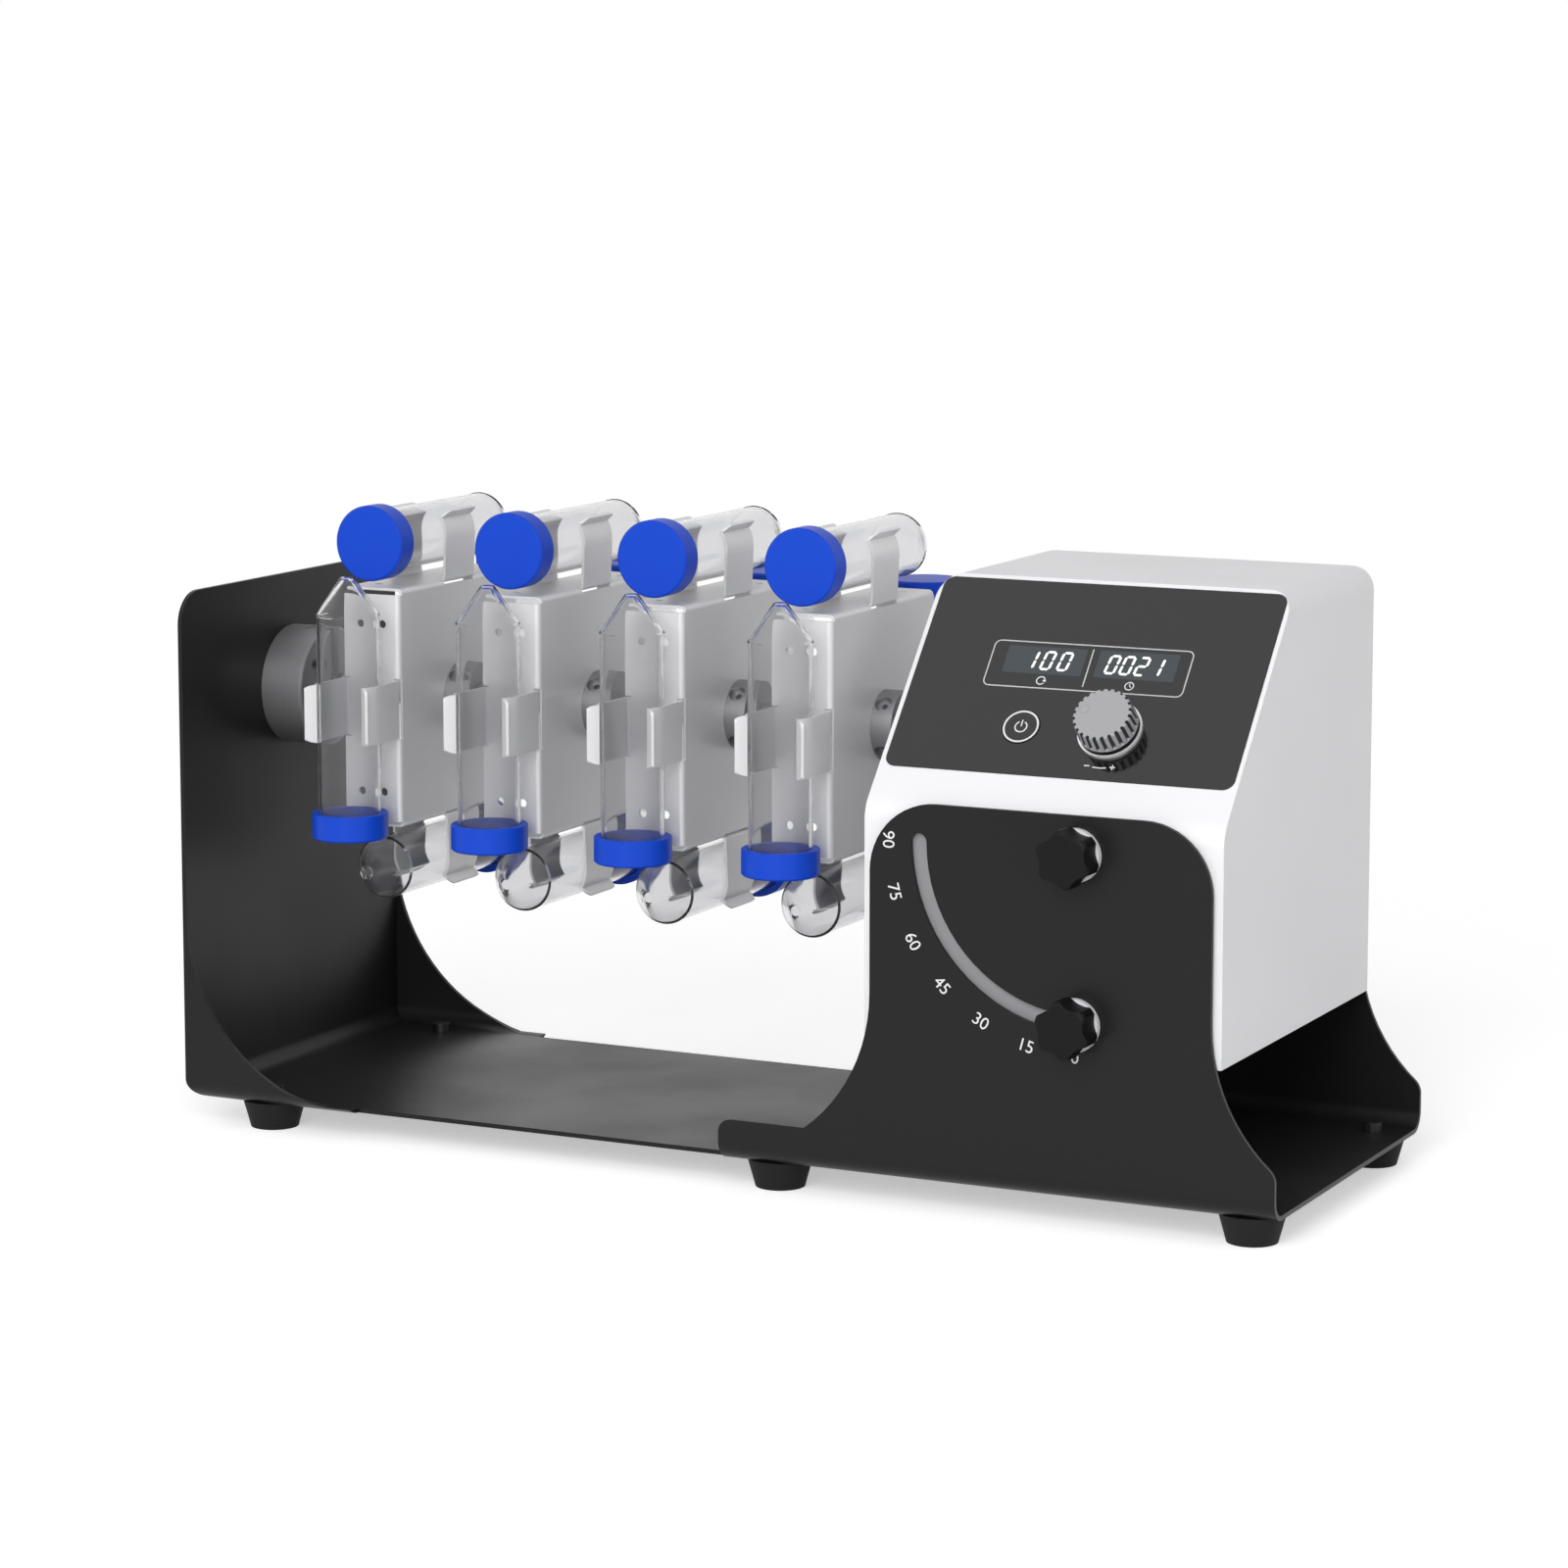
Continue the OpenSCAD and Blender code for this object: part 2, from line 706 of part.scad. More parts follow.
module head_bottom() {
    fit = 0.2;
    slot_l = 28;
    air_w = 4;
    air_pitch = 9;
    x_air = x_gearbox + gearbox_l + motor_l / 4;
    x0 = x_head_l + hood_t + fit;
    y0 = -y_head + hood_t + fit;
    color("#e6e6e8") in_frame() difference() {
        translate([x0, y0, z_head]) cube([x_head_r - hood_t - fit - x0, y_rear - fit - y0, plate_t]);
        for (p = bottom_posts)
            translate([p[0], p[1], z_head - past])
                cylinder(d = bottom_screw_d + 2 * seat, h = plate_t + 2 * past);
        for (p = bracket_places)
            translate([p[0], p[1], z_head - past])
                cylinder(d = bracket_screw_d + 2 * seat, h = plate_t + 2 * past);
        // Air slots under the motor
        for (k = [-2 : 2])
            translate([x_air + air_pitch * k, -slot_l / 2, z_head - past])
                cube([air_w, slot_l, plate_t + 2 * past]);
    }
}

module bottom_screws() {
    color("#8c8c90") in_frame() for (p = bottom_posts)
        translate([p[0], p[1], z_head]) mirror([0, 0, 1]) screw(bottom_screw_d, post_screw_l);
}

inlet_side = 46;
inlet_top = 30;
switch_side = 8;
inlet_x = x_head + inlet_side;
inlet_z = z_head_top - inlet_top;
inlet_d = 11;
switch_x = x_head + switch_side;
switch_z = inlet_z;
switch_w = 13;
switch_h = 19.5;

module rear_panel() {
    fit = 0.2;
    vent_w = 3;
    vent_h = 26;
    vent_pitch = 7;
    vent_side = 22;
    color("#ececee") in_frame() difference() {
        along_y(y_rear, y_head) hood_front_inside(fit);
        for (p = rear_posts) {
            rod_y(y_rear - past, y_head + past, bottom_screw_d + 2 * seat, p[0], p[1]);
            translate([p[0], y_head, p[1]]) rotate([-90, 0, 0]) sunk_head(bottom_screw_d, seat);
        }
        rod_y(y_rear - past, y_head + past, inlet_d + 2 * seat, inlet_x, inlet_z);
        translate([switch_x - switch_w / 2 - seat, y_rear - past, switch_z - switch_h / 2 - seat])
            cube([switch_w + 2 * seat, plate_t + 2 * past, switch_h + 2 * seat]);
        rod_y(y_rear - past, y_head + past, pivot_d + 2 * seat, x_pivot, z_pivot);
        // Vent slots over the motor
        for (k = [0 : 6])
            along_y(y_rear - past, y_head + past)
                slot_upright(x_head_l + vent_side + k * vent_pitch, inlet_z - vent_h / 2, vent_w, vent_h);
    }
}

// Inside of the hood's front outline, less a fitting gap
module hood_front_inside(fit) {
    g = -hood_t - fit;
    arch_rect(x_head_l - g, z_head, head_w + 2 * g, head_h + g, hood_corner_r + g);
}

module rear_screws() {
    color("#8c8c90") in_frame() for (p = rear_posts)
        translate([p[0], y_head, p[1]]) rotate([-90, 0, 0]) sunk_screw(bottom_screw_d, post_screw_l);
}

module panel_overlay() {
    fit = 0.1;
    color("#4a4a4b") in_frame() on_slope(0, 0, -overlay_sink) difference() {
        linear_extrude(overlay_t) overlay_outline(fit);
        translate([0, 0, -past]) linear_extrude(2 * past) window_outlines(seat);
        translate([encoder_u, encoder_v, -past]) cylinder(d = encoder_hole_d, h = 2 * past);
        translate([button_u, button_v, -past]) cylinder(d = button_d + 2 * slip, h = 2 * past);
    }
}

module display_windows() {
    color("#3a4046") in_frame() on_slope(0, 0, -overlay_sink) linear_extrude(overlay_t) window_outlines(0);
}

// Digit modules between the windows and the board
module display_modules() {
    color("#1c1d20") in_frame() on_slope(0, 0, -board_depth)
        linear_extrude(board_depth - overlay_sink) window_outlines(module_side - 2 * seat);
}

board_u0 = 16;
board_v0 = 30;
board_edge = 16;
board_w = head_w - 2 * board_u0;
board_l = slope_l - board_v0 - board_edge;
standoff_d = 6;
standoffs = [for (u = [board_u0 + standoff_d, board_u0 + board_w - standoff_d],
    v = [board_v0 + standoff_d, board_v0 + board_l - standoff_d]) [u, v]];

module control_board() {
    color("#1f5a34") in_frame() on_slope(0, 0, -board_depth - board_t)
        translate([board_u0, board_v0, 0]) cube([board_w, board_l, board_t]);
}

module board_standoffs() {
    color("#b8a24a") in_frame() on_slope(0, 0, -board_depth) for (s = standoffs)
        translate([s[0], s[1], 0]) cylinder(d = standoff_d, h = board_depth - hood_t);
}

encoder_shaft_d = 6;
encoder_bush_d = 7.4;
encoder_hole_d = encoder_bush_d + 2 * slip;
encoder_case = 12;
encoder_case_t = 6;
encoder_floor = 1;
ring_t = 1.5;
ring_edge = 0.8;
ring_d = encoder_d + 2 * ring_edge;

// Rotary encoder on the board, with a bush for its shaft
module encoder_body() {
    bush_out = 1;
    color("#9a9a9c") in_frame() on_slope(encoder_u, encoder_v, -board_depth) difference() {
        union() {
            translate([-encoder_case / 2, -encoder_case / 2, 0])
                cube([encoder_case, encoder_case, encoder_case_t]);
            cylinder(d = encoder_bush_d, h = board_depth + bush_out);
        }
        translate([0, 0, encoder_floor]) cylinder(d = encoder_shaft_d + 2 * run, h = board_depth + past);
    }
}

// Bright ring on the overlay, round the knob's foot
module encoder_ring() {
    color("#c9c9cc") in_frame() on_slope(encoder_u, encoder_v, overlay_t - overlay_sink) difference() {
        cylinder(d = ring_d, h = ring_t);
        translate([0, 0, -past]) cylinder(d = encoder_hole_d, h = 2 * past);
    }
}

switch_case = 6;
switch_case_t = 4;
plunger_d = 3.5;
plunger_t = 1;

module button_switch() {
    color("#2a2a2c") in_frame() on_slope(button_u, button_v, -board_depth) {
        translate([-switch_case / 2, -switch_case / 2, 0]) cube([switch_case, switch_case, switch_case_t]);
        translate([0, 0, switch_case_t - fuse]) cylinder(d = plunger_d, h = plunger_t + fuse);
    }
}

bracket_places = [for (k = [0, 1], side = [-1, 1])
    [x_gearbox + bracket_hole_in + k * bracket_hole_step, side * bracket_hole_side]];

// Folded bracket that stands on the bottom plate and carries the gearbox
module motor_bracket() {
    top_over = 4;
    top_r = 12;
    top_z = z_axis + gearbox_d / 2 + top_over;
    gusset_t = 3;
    gusset_z = z_inside + (top_z - z_inside) / 2;
    color("#b4b4b8") in_frame() difference() {
        union() {
            along_x(x_bracket, x_gearbox)
                arch_rect(-bracket_w / 2, z_inside, bracket_w, top_z - z_inside, top_r);
            translate([x_bracket, -bracket_w / 2, z_inside])
                cube([bracket_t + bracket_foot, bracket_w, bracket_t]);
            for (y = [-bracket_w / 2, bracket_w / 2 - gusset_t])
                along_y(y, y + gusset_t) polygon([[x_bracket, z_inside], [x_gearbox + bracket_foot, z_inside],
                    [x_gearbox + bracket_foot, z_inside + bracket_t], [x_gearbox, gusset_z],
                    [x_bracket, gusset_z]]);
        }
        rod_x(x_bracket - past, x_gearbox + past, gearbox_boss_d + 2 * seat);
        for (p = bracket_places)
            translate([p[0], p[1], z_inside - past])
                cylinder(d = bracket_screw_d + 2 * seat, h = bracket_t + 2 * past);
    }
}

module bracket_screws() {
    color("#8c8c90") in_frame() for (p = bracket_places)
        translate([p[0], p[1], z_inside + bracket_t]) screw(bracket_screw_d, plate_t + bracket_t);
}

module gearbox() {
    bore_l = 16;
    color("#a9a9ad") in_frame() difference() {
        union() {
            rod_x(x_gearbox, x_gearbox + gearbox_l, gearbox_d);
            rod_x(x_bracket, x_gearbox + fuse, gearbox_boss_d);
        }
        rod_x(x_bracket - past, x_bracket + bore_l, output_d + 2 * run);
    }
}

module motor() {
    x_motor = x_gearbox + gearbox_l;
    cap_l = 8;
    cap_in = 3;
    nose_d = 12;
    nose_l = 4;
    color("#55565a") in_frame() {
        rod_x(x_motor, x_motor + motor_l, motor_d);
        rod_x(x_motor + motor_l - fuse, x_motor + motor_l + cap_l, motor_d - 2 * cap_in);
        rod_x(x_motor + motor_l + cap_l - fuse, x_motor + motor_l + cap_l + nose_l, nose_d);
    }
}

// Flanged housing in the left wall, with the bearing that carries the shaft
module bearing_housing() {
    shaft_gap = 1;
    color("#7d7d80") in_frame() difference() {
        union() {
            rod_x(x_wall, x_wall + housing_flange_t, housing_flange_d);
            rod_x(x_head_l, x_wall + fuse, spigot_d);
        }
        rod_x(x_head_l - past, x_head_l + bearing_l + seat, bearing_d + 2 * seat);
        rod_x(x_head_l - past, x_wall + housing_flange_t + past, shaft_d + 2 * shaft_gap);
    }
}

module shaft_bearing() {
    color("#c4c4c8") in_frame() difference() {
        rod_x(x_head_l, x_head_l + bearing_l, bearing_d);
        rod_x(x_head_l - past, x_head_l + bearing_l + past, shaft_d + 2 * run);
    }
}

// Threaded bosses behind the hood's front, for the pivot and lock studs
module stud_bosses() {
    color("#b89b4c") in_frame() for (s = [[z_pivot, pivot_d], [z_lock, lock_d]]) difference() {
        rod_y(-y_head + hood_t, -y_head + hood_t + boss_l, boss_d, x_pivot, s[0]);
        rod_y(-y_head, -y_head + hood_t + boss_l + past, s[1] + 2 * run, x_pivot, s[0]);
    }
}

module rear_boss() {
    color("#b89b4c") in_frame() difference() {
        rod_y(y_rear - boss_l, y_rear, boss_d, x_pivot, z_pivot);
        rod_y(y_rear - boss_l - past, y_rear + past, pivot_d + 2 * seat, x_pivot, z_pivot);
    }
}

module knob_washers() {
    color("#f4f4f4") in_frame() for (s = [[z_pivot, pivot_d], [z_lock, lock_d]]) difference() {
        rod_y(-y_washer - washer_t, -y_washer, washer_d, x_pivot, s[0]);
        rod_y(-y_washer - washer_t - past, -y_washer + past, s[1] + 2 * run, x_pivot, s[0]);
    }
}

module rear_washer() {
    color("#f4f4f4") in_frame() difference() {
        rod_y(y_washer, y_washer + washer_t, washer_d, x_pivot, z_pivot);
        rod_y(y_washer - past, y_washer + washer_t + past, pivot_d + 2 * seat, x_pivot, z_pivot);
    }
}

// Hexagon bolt on the pivot's axis at the back
module rear_pivot_bolt() {
    hex_d = 15;
    y0 = y_washer + washer_t;
    color("#8c8c90") in_frame() {
        rod_y(y_rear - boss_l + thread_end, y0 + fuse, pivot_d, x_pivot, z_pivot);
        translate([x_pivot, y0, z_pivot]) rotate([-90, 0, 0]) cylinder(d = hex_d, h = bolt_head_t, $fn = 6);
    }
}

// Round low-voltage socket: a barrel in the rear panel, with a contact pin
module power_inlet() {
    flange_d = 14;
    flange_t = 1.5;
    body_w = 14;
    body_l = 12;
    bore_d = 6;
    pin_d = 2.1;
    bore_l = 10;
    color("#202022") in_frame() {
        difference() {
            union() {
                rod_y(y_rear - fuse, y_head + fuse, inlet_d, inlet_x, inlet_z);
                rod_y(y_head, y_head + flange_t, flange_d, inlet_x, inlet_z);
                translate([inlet_x - body_w / 2, y_rear - body_l, inlet_z - body_w / 2])
                    cube([body_w, body_l, body_w]);
            }
            rod_y(y_head + flange_t - bore_l, y_head + past, bore_d, inlet_x, inlet_z);
        }
        rod_y(y_head + flange_t - bore_l - fuse, y_head, pin_d, inlet_x, inlet_z);
    }
}

rocker_w = 9.6;
rocker_half = 7.4;
rocker_lean = 9;
rocker_depth = 5;
rocker_toe = 2.5;
rocker_out = 2;

module switch_housing() {
    frame_t = 1.5;
    frame_edge = 1.5;
    body_l = 13;
    well_l = 10;
    well_gap = 1;
    well_half = rocker_half + well_gap;
    color("#1b1b1d") in_frame() difference() {
        union() {
            translate([switch_x - switch_w / 2, y_rear - body_l, switch_z - switch_h / 2])
                cube([switch_w, body_l + plate_t + fuse, switch_h]);
            translate([switch_x - switch_w / 2 - frame_edge, y_head, switch_z - switch_h / 2 - frame_edge])
                cube([switch_w + 2 * frame_edge, frame_t, switch_h + 2 * frame_edge]);
        }
        translate([switch_x - rocker_w / 2 - slip, y_head + frame_t - well_l, switch_z - well_half])
            cube([rocker_w + 2 * slip, well_l + past, 2 * well_half]);
    }
}

// Rocker seen from the side: its two faces lean to either side of the ridge
module rocker_outline() {
    rise = rocker_half * tan(rocker_lean);
    polygon([[-rocker_depth, -rocker_toe], [0, -rocker_half], [rocker_out + rise, -rocker_half],
        [rocker_out, 0], [rocker_out + rise, rocker_half], [0, rocker_half], [-rocker_depth, rocker_toe]]);
}

module rocker() {
    color("#262628") in_frame() translate([0, y_head, switch_z]) rotate([rocker_lean, 0, 0])
        along_x(switch_x - rocker_w / 2, switch_x + rocker_w / 2) rocker_outline();
}

// Star knobs and studs

// Six-lobed star with shallow hollow flanks
module star_outline() {
    lobe_r = 0.1 * star_d;
    core_r = 0.462 * star_d;
    flank_r = 0.38 * star_d;
    valley_r = 0.395 * star_d;
    rotate(star_turn) difference() {
        union() {
            circle(core_r);
            for (k = [0 : 5]) rotate(60 * k) translate([star_d / 2 - lobe_r, 0]) circle(lobe_r);
        }
        for (k = [0 : 5]) rotate(60 * k + 30) translate([valley_r + flank_r, 0]) circle(flank_r);
    }
}

// Star knob along Z from its back face, with a domed face and rounded rims
module star_knob() {
    rim = 2.5;
    r = star_d / 2;
    intersection() {
        linear_extrude(star_t) star_outline();
        rotate_extrude() {
            square([r - rim, star_t]);
            translate([0, rim]) square([r, star_t - 2 * rim]);
            translate([r - rim, rim]) circle(rim);
            translate([r - rim, star_t - rim]) circle(rim);
        }
    }
}

module star_at(z, stud) {
    color("#1d1d1f") in_frame() translate([x_pivot, -y_star, z]) rotate([90, 0, 0]) difference() {
        star_knob();
        translate([0, 0, -past]) cylinder(d = stud + 2 * seat, h = past + stud_grip);
    }
}

module stud_at(z, d) {
    color("#a8a8ac") in_frame()
        rod_y(-y_star - stud_grip + seat, -y_head + stud_in, d, x_pivot, z);
}

module pivot_knob() {
    star_at(z_pivot, pivot_d);
}

module pivot_stud() {
    stud_at(z_pivot, pivot_d);
}

module lock_knob() {
    star_at(z_lock, lock_d);
}

module lock_stud() {
    stud_at(z_lock, lock_d);
}

// Fluted knob, slightly tapered, with a dimple near its rim
module encoder_knob() {
    foot = overlay_t - overlay_sink + ring_t + slip;
    flutes = 30;
    flute_d = 1.6;
    taper = 0.8;
    top_d = encoder_d - 2 * taper;
    skirt_h = encoder_h - foot;
    bevel = 0.8;
    dimple_r = 14;
    dimple_sink = 0.7;
    dimple_at = 0.32 * encoder_d;
    dimple_turn = 170;
    skirt_wall = 3;
    hollow_h = 4;
    color("#b3b3b6") in_frame() on_slope(encoder_u, encoder_v, 0) difference() {
        union() {
            translate([0, 0, foot]) rotate_extrude() polygon([[0, 0], [encoder_d / 2, 0],
                [top_d / 2, skirt_h - bevel], [top_d / 2 - bevel, skirt_h], [0, skirt_h]]);
            translate([0, 0, -board_depth + encoder_floor + slip])
                cylinder(d = encoder_shaft_d, h = board_depth + encoder_h / 2);
        }
        for (k = [0 : flutes - 1])
            rotate(360 / flutes * k) translate([encoder_d / 2, 0, foot - past])
                cylinder(d = flute_d, h = skirt_h + 2 * past, $fn = 16);
        rotate(dimple_turn) translate([dimple_at, 0, encoder_h + dimple_r - dimple_sink]) sphere(dimple_r);
        // Hollow under the skirt, clear of the bush
        translate([0, 0, foot - past]) difference() {
            cylinder(d = encoder_d - 2 * skirt_wall, h = past + hollow_h);
            cylinder(d = encoder_shaft_d, h = 2 * past);
        }
    }
}

// Button with a shallow dish, on a stem that reaches the switch
module push_button() {
    cap_t = 2.4;
    stem_d = 4;
    dish_r = 60;
    dish_sink = 0.25;
    rest_gap = 0.1;
    out = overlay_t - overlay_sink + slip;
    stem_end = -board_depth + switch_case_t + plunger_t + button_travel + rest_gap;
    color("#4a4a4b") in_frame() on_slope(button_u, button_v, 0) difference() {
        union() {
            translate([0, 0, out - cap_t]) cylinder(d = button_d, h = cap_t);
            translate([0, 0, stem_end]) cylinder(d = stem_d, h = out - cap_t - stem_end + fuse);
        }
        translate([0, 0, out + dish_r - dish_sink]) sphere(dish_r);
    }
}

// Rotor

module rotor_shaft() {
    end_gap = 0.5;
    shoulder_gap = 1;
    x_journal = x_tail - groove_l + end_gap;
    shoulder = x_tail + shoulder_gap;
    color("#a2a2a6") in_frame() {
        rod_x(x_journal, shoulder + fuse, journal_d);
        rod_x(shoulder, x_shaft_end - seat, shaft_d);
    }
}

module output_shaft() {
    reach = 12;
    color("#a2a2a6") in_frame() rod_x(x_shaft_end + seat, x_bracket + reach, output_d);
}

coupling_screw_d = 4;
coupling_screw_x = [x_coupling + coupling_l / 4, x_coupling + 3 * coupling_l / 4];

module shaft_coupling() {
    color("#9c9ca0") in_frame() difference() {
        rod_x(x_coupling, x_coupling + coupling_l, coupling_d);
        rod_x(x_coupling - past, x_shaft_end, shaft_d + 2 * seat);
        rod_x(x_shaft_end - fuse, x_coupling + coupling_l + past, output_d + 2 * seat);
        for (x = coupling_screw_x)
            translate([x, 0, z_axis]) cylinder(d = coupling_screw_d + 2 * seat, h = coupling_d);
    }
}

module coupling_screws() {
    sink = 1;
    color("#2a2a2c") in_frame() for (k = [0, 1]) {
        shaft = k == 0 ? shaft_r : output_d / 2;
        translate([coupling_screw_x[k], 0, z_axis + shaft + 2 * seat])
            cylinder(d = coupling_screw_d, h = coupling_d / 2 - shaft - sink);
    }
}

hub_screw_d = 3;
hub_screw_r = (shaft_r + hub_r) / 2;
hub_screw_angles = [0, 90, 270];
set_screw_d = 6;
set_screw_angles = [45, 135];
set_screw_x = 4.4;
set_screw_sink = 2.5;
set_mouth_d = 7.6;
hub_floor = 2;

// Hub collars on the right faces of the holders, each with two radial set-screw holes
module hub_collars() {
    color("#a6a6a9") in_frame() for (x = stations) {
        x0 = x + holder_t / 2;
        difference() {
            rod_x(x0, x0 + hub_l, hub_d);
            rod_x(x0 - past, x0 + hub_l + past, shaft_d + 2 * seat);
            for (a = set_screw_angles)
                translate([x0 + set_screw_x, 0, z_axis]) rotate([a, 0, 0]) {
                    cylinder(d = set_screw_d + 2 * seat, h = hub_d);
                    translate([0, 0, hub_r - set_screw_sink]) cylinder(d = set_mouth_d, h = hub_d);
                }
            for (a = hub_screw_angles)
                rod_x(x0 - past, x0 + hub_l - hub_floor, hub_screw_d + 2 * seat,
                    hub_screw_r * cos(a), z_axis + hub_screw_r * sin(a));
        }
    }
}

module hub_screws() {
    color("#8c8c90") in_frame() for (x = stations, a = hub_screw_angles)
        translate([x + holder_t / 2 - clip_t, hub_screw_r * cos(a), z_axis + hub_screw_r * sin(a)])
            rotate([0, -90, 0]) screw(hub_screw_d, clip_t + hub_l - hub_floor - thread_end);
}

module set_screws() {
    key_d = 3;
    l = hub_r - shaft_r - set_screw_sink;
    color("#232325") in_frame() for (x = stations, a = set_screw_angles)
        translate([x + holder_t / 2 + set_screw_x, 0, z_axis]) rotate([a, 0, 0])
            translate([0, 0, shaft_r + 2 * seat]) difference() {
                cylinder(d = set_screw_d, h = l - 2 * seat);
                translate([0, 0, l / 2]) cylinder(d = key_d, h = l, $fn = 6);
            }
}

// Spring arms: outlines in X and in the distance from the rotor's axis. A straight stretch reaches up to the
// tube's flank, a curved one follows the tube to an angle above its middle, and the lip leaves it there.
arm_kink = 4;
arm_over = 34;
lip_a = 41;
arm_r_in = tube_d / 2 + run;
arm_r_out = arm_r_in + clip_t;
arm_r_mid = arm_r_in + clip_t / 2;
elbow_over = 0.06;
elbow_r = clip_t / 2 + elbow_over;
half_t = holder_t / 2;
half_s = holder_s / 2;
arm_top = tube_axis_r + arm_r_mid * sin(arm_over) + arm_lip * sin(lip_a) + clip_t / 2 * cos(lip_a);

// Right-hand arm from its root over the wall, round the tube's flank to its flared lip
module arm_outline() {
    root = half_s + clip_bend_r - clip_t;
    from = [half_t - clip_t / 2, root - tube_axis_r];
    arm_under = atan2(from[1], from[0]) + acos(arm_r_mid / norm(from)) - arm_kink;
    foot = [arm_r_mid * cos(arm_under), tube_axis_r + arm_r_mid * sin(arm_under)];
    head = [arm_r_mid * cos(arm_over), tube_axis_r + arm_r_mid * sin(arm_over)];
    far = 3 * arm_r_out;
    difference() {
        union() {
            polygon([[half_t - clip_t, root], [half_t, root], foot + [clip_t / 2, 0], foot - [clip_t / 2, 0]]);
            intersection() {
                translate([0, tube_axis_r]) circle(arm_r_out);
                translate([0, tube_axis_r]) polygon([[0, 0], [far * cos(arm_under), far * sin(arm_under)],
                    [far, 0], [far * cos(arm_over), far * sin(arm_over)]]);
            }
            for (p = [foot, head])
                translate(p) circle(elbow_r);
            translate(head) rotate(lip_a) translate([0, -clip_t / 2]) square([arm_lip, clip_t]);
        }
        translate([0, tube_axis_r]) circle(arm_r_in);
    }
}

// One side of a holder, drawn at the top: its wall along Y, its bend and its two arms
module holder_side() {
    wall_l = holder_s - 2 * corner_gap;
    relief = 0.6;
    plate_rise = 0.6;
    hole_x = 5.5;
    hole_y = 38;
    bend_x = half_t - clip_bend_r;
    difference() {
        along_y(-wall_l / 2, wall_l / 2) {
            translate([-half_t, half_s - clip_t]) square([half_t + bend_x, clip_t]);
            translate([bend_x, half_s - clip_bend_r]) ring_quarter(clip_bend_r, clip_bend_r - clip_t);
        }
        // Both edges of the wall turn up into the arms, with reliefs beside them
        for (flip = [0, 1]) mirror([flip, 0, 0]) {
            translate([bend_x, -arm_w / 2, half_s - clip_bend_r]) cube([past, arm_w, past]);
            for (y = [-arm_w / 2 - relief, arm_w / 2])
                translate([bend_x - relief, y, half_s - clip_bend_r]) cube([past, relief, past]);
        }
        for (x = [-hole_x, hole_x], y = [-hole_y, hole_y])
            translate([x, y, half_s - past]) cylinder(d = wall_hole_d, h = 2 * past);
    }
    intersection() {
        along_y(-arm_w / 2, arm_w / 2) {
            for (flip = [0, 1]) mirror([flip, 0]) {
                arm_outline();
                translate([bend_x, half_s - clip_bend_r]) arm_root();
            }
            // Edge of the plate, a slit below the right arm's bend
            translate([half_t - clip_t, half_s - clip_bend_r - fuse]) square([clip_t, fuse + plate_rise]);
        }
        along_x(-holder_s, holder_s) arch_rect(-arm_w / 2, 0, arm_w, arm_top, arm_corner_r);
    }
}

// Bend of an arm out of the wall's edge, drawn from the bend's start
module arm_root() {
    r_in = clip_bend_r - clip_t;
    translate([0, 2 * clip_bend_r - clip_t]) mirror([0, 1]) ring_quarter(clip_bend_r, r_in);
    translate([-fuse, clip_bend_r - clip_t]) square([fuse, clip_t]);
}

module tube_holder(k) {
    plate_s = holder_s - 2 * clip_bend_r;
    hole_gap = 0.4;
    color("#b9b9bc") in_frame() translate([stations[k], 0, z_axis]) difference() {
        union() {
            translate([half_t - clip_t, -plate_s / 2, -plate_s / 2]) cube([clip_t, plate_s, plate_s]);
            for (q = [0 : 3]) rotate([90 * q, 0, 0]) holder_side();
        }
        rotate([0, 90, 0]) cylinder(d = shaft_d + hole_gap, h = holder_t);
        for (a = hub_screw_angles)
            rod_x(0, holder_t, hub_screw_d + 2 * seat, hub_screw_r * cos(a), hub_screw_r * sin(a));
    }
}

// Places four pieces of a tube's kind round a station: front, top, back and bottom
module round_station(k) {
    for (q = [0 : 3])
        translate([stations[k], 0, z_axis]) rotate([-90 * q, 0, 0]) translate([0, -tube_axis_r, 0]) children();
}

cap_top_t = 1.6;
mouth_z = -cap_reach + cap_top_t;
tip_z = tube_l - cap_reach;
cone_z = tip_z - cone_l;

module tube_solid() {
    r = tube_d / 2;
    tip_r = tip_d / 2;
    tip_t = 1.5;
    tip_in = 0.8;
    bead_t = 0.3;
    bead_l = 0.8;
    rotate_extrude() polygon([[r - tube_wall, mouth_z], [r, mouth_z], [r, cone_z - bead_l],
        [r + bead_t, cone_z - bead_l / 2], [r + bead_t, cone_z], [tip_r, tip_z], [0, tip_z],
        [0, tip_z - tip_t], [tip_r - tip_in, tip_z - tip_t], [r - tube_wall, cone_z]]);
}

module cap_solid() {
    r = cap_d / 2;
    edge = 0.8;
    bore_r = tube_d / 2 + seat;
    z0 = -cap_reach;
    rotate_extrude() polygon([[0, z0], [r - edge, z0], [r, z0 + edge], [r, z0 + cap_h - edge / 2],
        [r - edge / 2, z0 + cap_h], [bore_r, z0 + cap_h], [bore_r, mouth_z], [0, mouth_z]]);
}

module tubes(k) {
    color("#dfe6ea") in_frame() round_station(k) tube_solid();
}

module caps(k) {
    color("#1f49cb") in_frame() round_station(k) cap_solid();
}

